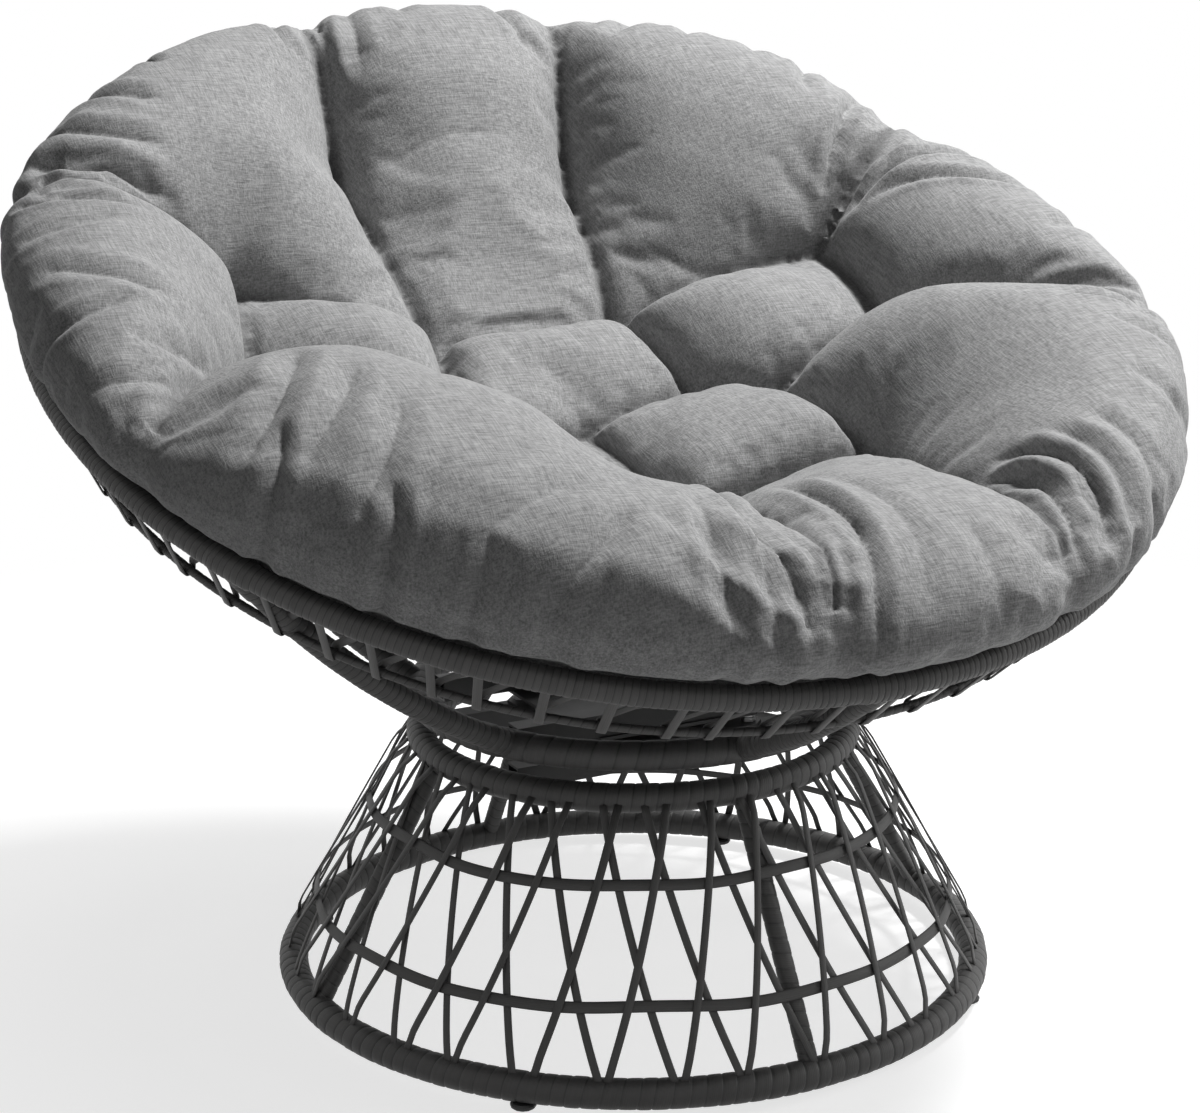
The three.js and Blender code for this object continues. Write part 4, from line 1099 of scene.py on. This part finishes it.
class CHAIR_OT_metalwork(bpy.types.Operator):
    """Gives the steel, the swivel and the glide feet their finishes"""

    bl_idname = "chair.metalwork"
    bl_label = "Metalwork"

    def execute(self, context):
        finishes = (
            (painted_steel(), ("base_floor_ring", "base_top_ring", "bowl_seat_ring",
                               "bowl_rim_ring", "base_cross_bar", "bowl_cross_bar",
                               "swivel_plate")),
            (zinc(), ("lower_plate_bolt", "upper_plate_bolt", "swivel_bearing", "swivel_pin")),
            (foot_plastic(), ("glide_foot",)),
        )
        for name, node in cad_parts.items():
            for material, starts in finishes:
                if name.startswith(starts) and not name.endswith("_wrap"):
                    for entry in node.material_slots:
                        entry.material = material
        return {"FINISHED"}


def on_cushion(share, degrees):
    """Point of the cushion's plan by share of its radius and degrees from the front."""
    return polar(share * CUSHION_RADIUS, math.radians(degrees), 0.0)[:2]


def degrees_apart(degrees, middle):
    """Difference of two directions in degrees, the short way round."""
    return (degrees - middle + 180) % 360 - 180


def bell(away, reach):
    """1 at a middle and falling steeply past its reach: exp(-(away / reach)^4)."""
    return np.exp(-((away / reach) ** 4))


def nearest_on(plan, starts, runs):
    """For every point and every straight run: the share along the run of the point nearest
    to it, and how far away that is."""
    along = np.sum((plan[:, None] - starts) * runs, axis=2) / np.sum(runs * runs, axis=1)
    along = np.clip(along, 0, 1)
    return along, np.linalg.norm(plan[:, None] - starts - along[..., None] * runs, axis=2)


def in_pads(plan):
    """Whether each point of the plan lies in a pad: on the same side of all its seams."""
    inside = np.zeros(len(plan), bool)
    for names in PADS:
        corners = np.array([
            on_cushion(*(INNER_TUFTS[name] if name in INNER_TUFTS else CHANNELS[name][1:3]))
            for name in names])
        runs = np.roll(corners, -1, axis=0) - corners
        apart = plan[:, None] - corners
        side = runs[:, 0] * apart[..., 1] - runs[:, 1] * apart[..., 0]
        inside |= np.all(side < 0, axis=1) | np.all(side > 0, axis=1)
    return inside


def seam_lines():
    """Ends of every seam of the top, and how far it arches up between them: the two lengths
    of each channel, the seams across between bends, and those of the middle."""
    tufts = {name: on_cushion(*tuft) for name, tuft in INNER_TUFTS.items()}
    lines = [(tufts["right"], tufts["fork"], SEAM_ARCH)]
    bends = [on_cushion(*channel[1:3]) for channel in CHANNELS]
    for channel, bend, next_bend in zip(CHANNELS, bends, bends[1:] + bends[:1]):
        edge, _, _, inner, across, rise = channel
        lines.append((on_cushion(1.0, edge), bend, rise))
        lines.append((bend, tufts[inner], SEAM_ARCH))
        if across:
            lines.append((bend, next_bend, SEAM_ARCH))
    corners = [tufts[name] for name in PADS[0]]
    lines += [(*pair, SEAM_ARCH) for pair in zip(corners, corners[1:] + corners[:1])]
    starts, ends, arches = map(np.array, zip(*lines))
    return starts, ends - starts, arches


def seam_field(plan):
    """For points of the cushion's plan: the distance to the nearest seam, a rounded distance
    to all seams, (sum of d^-3)^(-1/3), how far along its seam the nearest point lies, with a
    shift from seam to seam, and how far the seams near it have arched up, 4 t (1 - t) of each,
    with the nearest counting most."""
    starts, runs, arches = seam_lines()
    along, away = nearest_on(plan, starts, runs)
    first = np.argmin(away, axis=1)
    rows = np.arange(len(plan))
    weights = np.maximum(away, 1e-5) ** -3
    weight = np.sum(weights, axis=1)
    arch = np.sum(weights * 4 * along * (1 - along) * arches, axis=1) / weight
    travelled = along[rows, first] * np.linalg.norm(runs, axis=1)[first] + SEAM_SHIFT * first
    return away[rows, first], weight ** (-1 / 3), travelled, arch


def cushion_top(plan, sizes):
    """Heights of the top: a seam's height, raised towards that of the pad or lobe by
    sqrt(1 - (1 - n)^2), where n is the rounded distance to the seams over that at which a pad
    or a lobe is full. Round the cushion the lobes' heights rise to those of the tall ones."""
    share = np.clip(np.linalg.norm(plan, axis=1) / CUSHION_RADIUS, 0, 1)
    seam, pad, low, tall = (
        np.interp(share, TOP_SHARES, heights)
        for heights in (SEAM_SHARES, PAD_SHARES, LOBE_SHARES, TALL_SHARES))
    degrees = np.degrees(np.arctan2(plan[:, 0], -plan[:, 1]))
    lobe = low
    for middle, reach, rise in TALL_LOBES:
        higher = rise / 1000 / sizes.crown * smooth_step(0.98, 0.8, share)
        lobe = lobe + (tall * (1 + higher) - low) * bell(degrees - middle, reach)
    pads = in_pads(plan)
    full_height = np.where(pads, pad, lobe)
    half_width = np.where(pads, sizes.pad_width, sizes.lobe_width)
    _, rounded, _, arch = seam_field(plan)
    seam = seam + arch / 1000 / sizes.crown
    near = np.clip((rounded - sizes.seam_floor) / half_width, 0, 1)
    full = np.sqrt(1 - (1 - near) ** 2)
    middle, reach, drop = LOW_EDGE
    lower = drop / 1000 * bell(degrees - middle, reach) * smooth_step(0.6, 0.95, share)
    return sizes.crown * (seam + (full_height - seam) * full) - lower


def edge_notch(angle, sizes):
    """How far the edge pulls in at each angle: exp(-(away / 2 cm)^2) at every channel."""
    edges = np.array([channel[0] for channel in CHANNELS])
    apart = np.radians(degrees_apart(np.degrees(angle)[:, None], edges))
    away = np.abs(apart).min(axis=1) * CUSHION_RADIUS
    return sizes.notch * np.exp(-((away / 0.02) ** 2))


def cushion_form(sizes, columns=420, rows=110, under_rows=90):
    """Closed form of the cushion before filling, on a grid round its axis: the top by
    cushion_top out to the edge, then the side and the underside by their table."""
    angle = np.arange(columns) / columns * FULL_TURN
    share = (1 - (1 - np.linspace(0.008, 1, rows)) ** 1.5)[:, None]
    pushed = sizes.shoulder - edge_notch(angle, sizes)
    plan = polar(share * (CUSHION_RADIUS + pushed * share ** 6), angle, 0.0)[..., :2]
    nominal = polar(share * CUSHION_RADIUS, angle, 0.0)[..., :2]
    height = cushion_top(nominal.reshape(-1, 2), sizes).reshape(rows, columns)
    top = np.concatenate([plan, height[..., None]], axis=2)

    profile = np.array(UNDERSIDE)
    reached = distances_along(profile)
    marks = np.linspace(0.003, reached[-1] - 0.004, under_rows)
    radius, level = (
        np.interp(marks, reached, values)[:, None] for values in profile.T)
    fading = np.exp(-((marks[:, None] / 0.016) ** 2))
    under = polar(radius + pushed * fading, angle, level)

    grid = np.concatenate([top, under]).reshape(-1, 3)
    row, column = grid_numbers(rows + under_rows - 1, columns)
    after = (column + 1) % columns
    faces = np.stack([
        row * columns + column, (row + 1) * columns + column,
        (row + 1) * columns + after, row * columns + after], axis=1)
    poles = np.array([[0.0, 0.0, height[0].mean()], [0.0, 0.0, UNDERSIDE[-1][1]]])
    middle, bottom = len(grid), len(grid) + 1
    last = len(grid) - columns
    caps = [(middle, k, (k + 1) % columns) for k in range(columns)]
    caps += [(bottom, last + (k + 1) % columns, last + k) for k in range(columns)]
    return place_in_rim(np.vstack([grid, poles])), faces, caps


def apply_modifiers(piece):
    """Puts the piece's modifiers into its mesh."""
    graph = bpy.context.evaluated_depsgraph_get()
    graph.update()
    mesh = bpy.data.meshes.new_from_object(
        piece.evaluated_get(graph), preserve_all_data_layers=True, depsgraph=graph)
    before = piece.data
    piece.modifiers.clear()
    piece.data = mesh
    bpy.data.meshes.remove(before)


def read_points(mesh, what="co"):
    """Places or normals of a mesh's vertices as rows."""
    values = np.zeros(len(mesh.vertices) * 3, np.float32)
    mesh.vertices.foreach_get(what, values)
    return values.reshape(-1, 3).astype(float)


def write_points(mesh, points):
    """Moves a mesh's vertices to these places."""
    mesh.vertices.foreach_set("co", points.ravel().astype(np.float32))
    mesh.update()


def share_and_rise(points, normals):
    """Points in the rim's frame, the share of the cushion's radius where each lies, and how
    far its normal rises along the rim's axis."""
    local = into_rim(points)
    share = np.linalg.norm(local[:, :2], axis=1) / CUSHION_RADIUS
    return local, share, normals @ turn_to_rim(np.array([0.0, 0.0, 1.0]))


def fill_cushion(piece, sizes):
    """Fills the cushion: cloth under pressure, with the seams and the underside held, and no
    point moved further than the swell."""
    start = read_points(piece.data)
    local, share, rise = share_and_rise(start, read_points(piece.data, "normal"))
    nearest = seam_field(local[:, :2])[0]
    top = rise > 0.05
    by_seam = np.where(top & (share < 0.99), 1 - smooth_step(*HELD_BY_SEAM, nearest), 0.0)
    below = smooth_step(*HELD_BELOW, local[:, 2]) * (share < 0.995) * ~top
    tenths = np.round(np.maximum(by_seam, below) * 10)
    group = piece.vertex_groups.new(name="held")
    for level in range(1, 11):
        chosen = np.nonzero(tenths == level)[0]
        if len(chosen):
            group.add(chosen.tolist(), level / 10, "REPLACE")
    cloth = piece.modifiers.new("Filling", "CLOTH")
    settings = cloth.settings
    for name, value in CLOTH.items():
        setattr(settings, name, value)
    settings.uniform_pressure_force = sizes.pressure
    settings.shrink_min = -sizes.fullness
    settings.effector_weights.gravity = 0.0
    settings.vertex_group_mass = group.name
    cloth.collision_settings.use_collision = False
    cloth.point_cache.frame_start = 1
    cloth.point_cache.frame_end = FILLING_FRAMES
    scene = bpy.context.scene
    for number in range(1, FILLING_FRAMES + 1):
        scene.frame_set(number)
    apply_modifiers(piece)
    scene.frame_set(1)
    moved = read_points(piece.data) - start
    far = np.linalg.norm(moved, axis=1, keepdims=True)
    write_points(piece.data, start + moved * np.minimum(1, sizes.swell / np.maximum(far, 1e-9)))


def fold_depths(plan):
    """Depth of the folds at points of the plan. Each runs along a curve, (1-t)^2 a +
    2t(1-t) b + t^2 c, taken as short runs. Across it, at a distance d, its depth goes as
    exp(-d / width) less a low ridge on both sides, and it fades in from its inner end."""
    total = np.zeros(len(plan))
    rows = np.arange(len(plan))
    steps = np.linspace(0, 1, 9)[:, None]
    for fold in FOLDS:
        a, b, c = (on_cushion(*fold[k:k + 2]) for k in (0, 2, 4))
        depth, width = fold[6] / 1000, fold[7] / 1000
        curve = (1 - steps) ** 2 * a + 2 * steps * (1 - steps) * b + steps ** 2 * c
        along, away = nearest_on(plan, curve[:-1], np.diff(curve, axis=0))
        first = np.argmin(away, axis=1)
        reached = (first + along[rows, first]) / (len(steps) - 1)
        across = away[rows, first] / width
        shape = np.exp(-across) - 0.25 * np.exp(-((across - 2.4) ** 2))
        fade = smooth_step(0.0, 0.3, reached) * (1 - 0.4 * smooth_step(0.7, 1.0, reached))
        total += depth * fade * shape
    return total


def gather_cloth(piece):
    """Puckers along the seams, folds, pleats up from the edge and the welt round it: waves
    along a seam that fade with distance from it, the folds by their table, waves round the
    edge that fade up the side, and one sewn line near the bottom edge."""
    points, normals = read_points(piece.data), read_points(piece.data, "normal")
    local, share, rise = share_and_rise(points, normals)
    plan, height = local[:, :2], local[:, 2]
    nearest, _, along, _ = seam_field(plan)
    top = smooth_step(-0.1, 0.15, rise)
    outside = smooth_step(0.012, 0.024, height)

    short, longer, longest = (along * FULL_TURN / wave for wave in PUCKER_WAVES)
    pucker = np.sin(short + 2 * np.sin(longer)) * (0.5 + 0.5 * np.sin(longest + 1.0))
    gathered = PUCKER * pucker * np.exp(-nearest / PUCKER_REACH) * top

    rng = np.random.default_rng(90)
    angle = np.arctan2(plan[:, 0], -plan[:, 1])
    pleats = wavy(angle, rng, 1.0, (31, 47, 58, 73))
    strength = smooth_step(-0.1, 0.9, wavy(angle, rng, 1.0, (5, 8, 13)))
    low = np.exp(-np.maximum(height - PLEAT_REACH, 0) / PLEAT_REACH)
    pleated = PLEAT * pleats * strength * low * smooth_step(0.86, 0.96, share) * outside

    folded = fold_depths(plan) * outside * smooth_step(0.003, 0.014, nearest)
    inside = top * (share < CREASE_END)
    crease = CREASE * np.exp(-nearest / CREASE_REACH) * inside
    welt = np.exp(-(((height - WELT_HEIGHT) / WELT_WIDTH) ** 2)) * (share > WELT_START)
    moved = gathered + pleated - folded - crease - WELT * welt
    write_points(piece.data, points + normals * moved[:, None])
    # Painted shade: a mask that darkens the cloth in the seams' creases and along the welt's
    # groove, kept in the seam attribute
    seam = np.maximum(np.exp(-((nearest / SEAM_SHADE_WIDTH) ** 2)) * inside, 0.7 * welt)
    attribute = piece.data.attributes.new("seam", "FLOAT", "POINT")
    attribute.data.foreach_set("value", seam.astype(np.float32))
    piece.data.polygons.foreach_set("use_smooth", np.ones(len(piece.data.polygons), bool))
    piece.data.update()


class CHAIR_OT_cushion(bpy.types.Operator):
    """Makes the tufted cushion as filled cloth over its form, with puckers and pleats"""

    bl_idname = "chair.cushion"
    bl_label = "Cushion"

    def execute(self, context):
        sizes = context.scene.cushion_sizes
        points, faces, caps = cushion_form(sizes)
        if signed_volume(points, faces) < 0:
            faces, caps = faces[:, ::-1], [face[::-1] for face in caps]
        piece = mesh_object("cushion_cover", points, [*faces.tolist(), *map(list, caps)])
        remesh = piece.modifiers.new("Even faces", "REMESH")
        remesh.mode = "VOXEL"
        remesh.voxel_size = sizes.voxel * 1.0
        apply_modifiers(piece)
        fill_cushion(piece, sizes)
        evened = piece.modifiers.new("Evened", "SMOOTH")
        evened.factor, evened.iterations = 0.5, 3
        smooth = piece.modifiers.new("Finer faces", "SUBSURF")
        smooth.levels = smooth.render_levels = 1
        apply_modifiers(piece)
        gather_cloth(piece)
        piece.data.materials.clear()
        piece.data.materials.append(linen())
        place(piece, "cushion", "fabric", "cushion")
        return {"FINISHED"}


def soft_box(name, at, width, watts):
    """Square soft light aimed at the chair."""
    data = bpy.data.lights.new(name, "AREA")
    data.shape = "SQUARE"
    data.size = width
    data.energy = watts
    lamp = bpy.data.objects.new(name, data)
    lamp.location = at
    aim = Vector(LIGHTS_AIM) - Vector(at)
    lamp.rotation_euler = aim.to_track_quat("-Z", "Y").to_euler()
    bpy.context.scene.collection.objects.link(lamp)


def background_rays(recipe):
    """1 for the rays that see the background: camera, glossy and transmission rays."""
    path = recipe.tree.nodes.new("ShaderNodeLightPath")
    camera, glossy, through = (
        Value(recipe, path.outputs[name])
        for name in ("Is Camera Ray", "Is Glossy Ray", "Is Transmission Ray"))
    return recipe.clamped(camera + glossy + through)


class CHAIR_OT_studio(bpy.types.Operator):
    """Sets the camera at the photograph's angle, the pale floor, the soft lights and the
    white background"""

    bl_idname = "chair.studio"
    bl_label = "Studio"

    def execute(self, context):
        scene = context.scene
        scene.view_settings.view_transform = "Standard"
        self.make_camera(scene)
        self.make_world(scene)
        self.make_floor()
        for name, at, width, watts in LIGHTS:
            soft_box(name, at, width, watts)
        return {"FINISHED"}

    def make_camera(self, scene):
        """Camera by its place, its direction and its roll about that direction."""
        forward = Vector(CAMERA_FORWARD).normalized()
        level = forward.cross(Vector((0, 0, 1))).normalized()
        upright = level.cross(forward)
        right = level * math.cos(CAMERA_ROLL) + upright * math.sin(CAMERA_ROLL)
        above = upright * math.cos(CAMERA_ROLL) - level * math.sin(CAMERA_ROLL)
        data = bpy.data.cameras.new("camera")
        data.sensor_fit = "HORIZONTAL"
        data.sensor_width = SENSOR_WIDTH
        data.lens = CAMERA_LENS
        camera = bpy.data.objects.new("camera", data)
        turned = Matrix((right, above, -forward)).transposed().to_4x4()
        camera.matrix_world = Matrix.Translation(CAMERA_AT) @ turned
        scene.collection.objects.link(camera)
        scene.camera = camera

    def make_world(self, scene):
        """Dim even light on the chair, and plain white for the background."""
        recipe = Recipe("studio", "worlds")
        soft, white = (
            recipe.add("ShaderNodeBackground", None, {"Color": WHITE, "Strength": strength})
            for strength in (WORLD_LIGHT, 1.0))
        mixed = recipe.add("ShaderNodeMixShader", None, {
            0: background_rays(recipe), 1: soft, 2: white})
        scene.world = recipe.finish(mixed, "ShaderNodeOutputWorld")

    def make_floor(self):
        """Pale disc under the chair. It keeps the chair's shadow, and further out it turns
        into plain white for the rays that see the background, so that no horizon shows."""
        recipe = Recipe("pale_floor")
        plain = recipe.add("ShaderNodeBsdfPrincipled", None, {
            "Base Color": (FLOOR_GREY, FLOOR_GREY, FLOOR_GREY, 1.0), "Roughness": 0.9,
            "Specular IOR Level": 0.1})
        glow, white = (
            recipe.add("ShaderNodeEmission", None, {"Color": WHITE, "Strength": strength})
            for strength in (FLOOR_GLOW, 1.0))
        both = recipe.add("ShaderNodeAddShader", None, {0: plain, 1: glow})
        distance = recipe.add(
            "ShaderNodeVectorMath", {"operation": "LENGTH"}, {0: recipe.object_point()},
            output="Value")
        start, width = FLOOR_FADE
        far = recipe.clamped((distance - start) / width)
        seen = recipe.add("ShaderNodeMixShader", None, {0: far, 1: both, 2: white})
        look = recipe.add("ShaderNodeMixShader", None, {
            0: background_rays(recipe), 1: plain, 2: seen})
        corners = np.arange(FLOOR_SIDES)
        ring = polar(FLOOR_RADIUS, corners / FLOOR_SIDES * FULL_TURN, FLOOR_HEIGHT)
        floor = mesh_object("floor", ring, [corners.tolist()])
        floor.data.materials.append(recipe.finish(look))


# The add-on

OPERATORS = (
    CHAIR_OT_studio,
    CHAIR_OT_metalwork,
    CHAIR_OT_ring_windings,
    CHAIR_OT_base_legs,
    CHAIR_OT_base_hoops,
    CHAIR_OT_base_strands,
    CHAIR_OT_bowl_rim,
    CHAIR_OT_bowl_ribs,
    CHAIR_OT_bowl_lacing,
    CHAIR_OT_cushion,
)


class CHAIR_PT_pieces(bpy.types.Panel):
    """Lists the pieces of the chair and their sizes"""

    bl_idname = "CHAIR_PT_pieces"
    bl_label = "Papasan chair"
    bl_space_type = "VIEW_3D"
    bl_region_type = "UI"
    bl_category = "Chair"

    def draw(self, context):
        layout = self.layout
        for operator in OPERATORS:
            layout.operator(operator.bl_idname)
        for name in GROUPS:
            box = layout.box()
            group = getattr(context.scene, name)
            for key in group.__annotations__:
                box.prop(group, key)


GROUPS = {
    "wicker_sizes": WickerSizes,
    "cushion_sizes": CushionSizes,
    "chair_colours": ChairColours,
}


def register():
    """Adds the classes and the scene's settings."""
    for group in (*GROUPS.values(), *OPERATORS, CHAIR_PT_pieces):
        bpy.utils.register_class(group)
    for name, group in GROUPS.items():
        setattr(bpy.types.Scene, name, bpy.props.PointerProperty(type=group))


def unregister():
    """Takes them away again."""
    for name in GROUPS:
        delattr(bpy.types.Scene, name)
    for group in (CHAIR_PT_pieces, *reversed(OPERATORS), *reversed(GROUPS.values())):
        bpy.utils.unregister_class(group)


def main():
    """Makes every piece in order."""
    register()
    for operator in OPERATORS:
        section, name = operator.bl_idname.split(".")
        getattr(getattr(bpy.ops, section), name)()


if __name__ == "__main__":
    main()
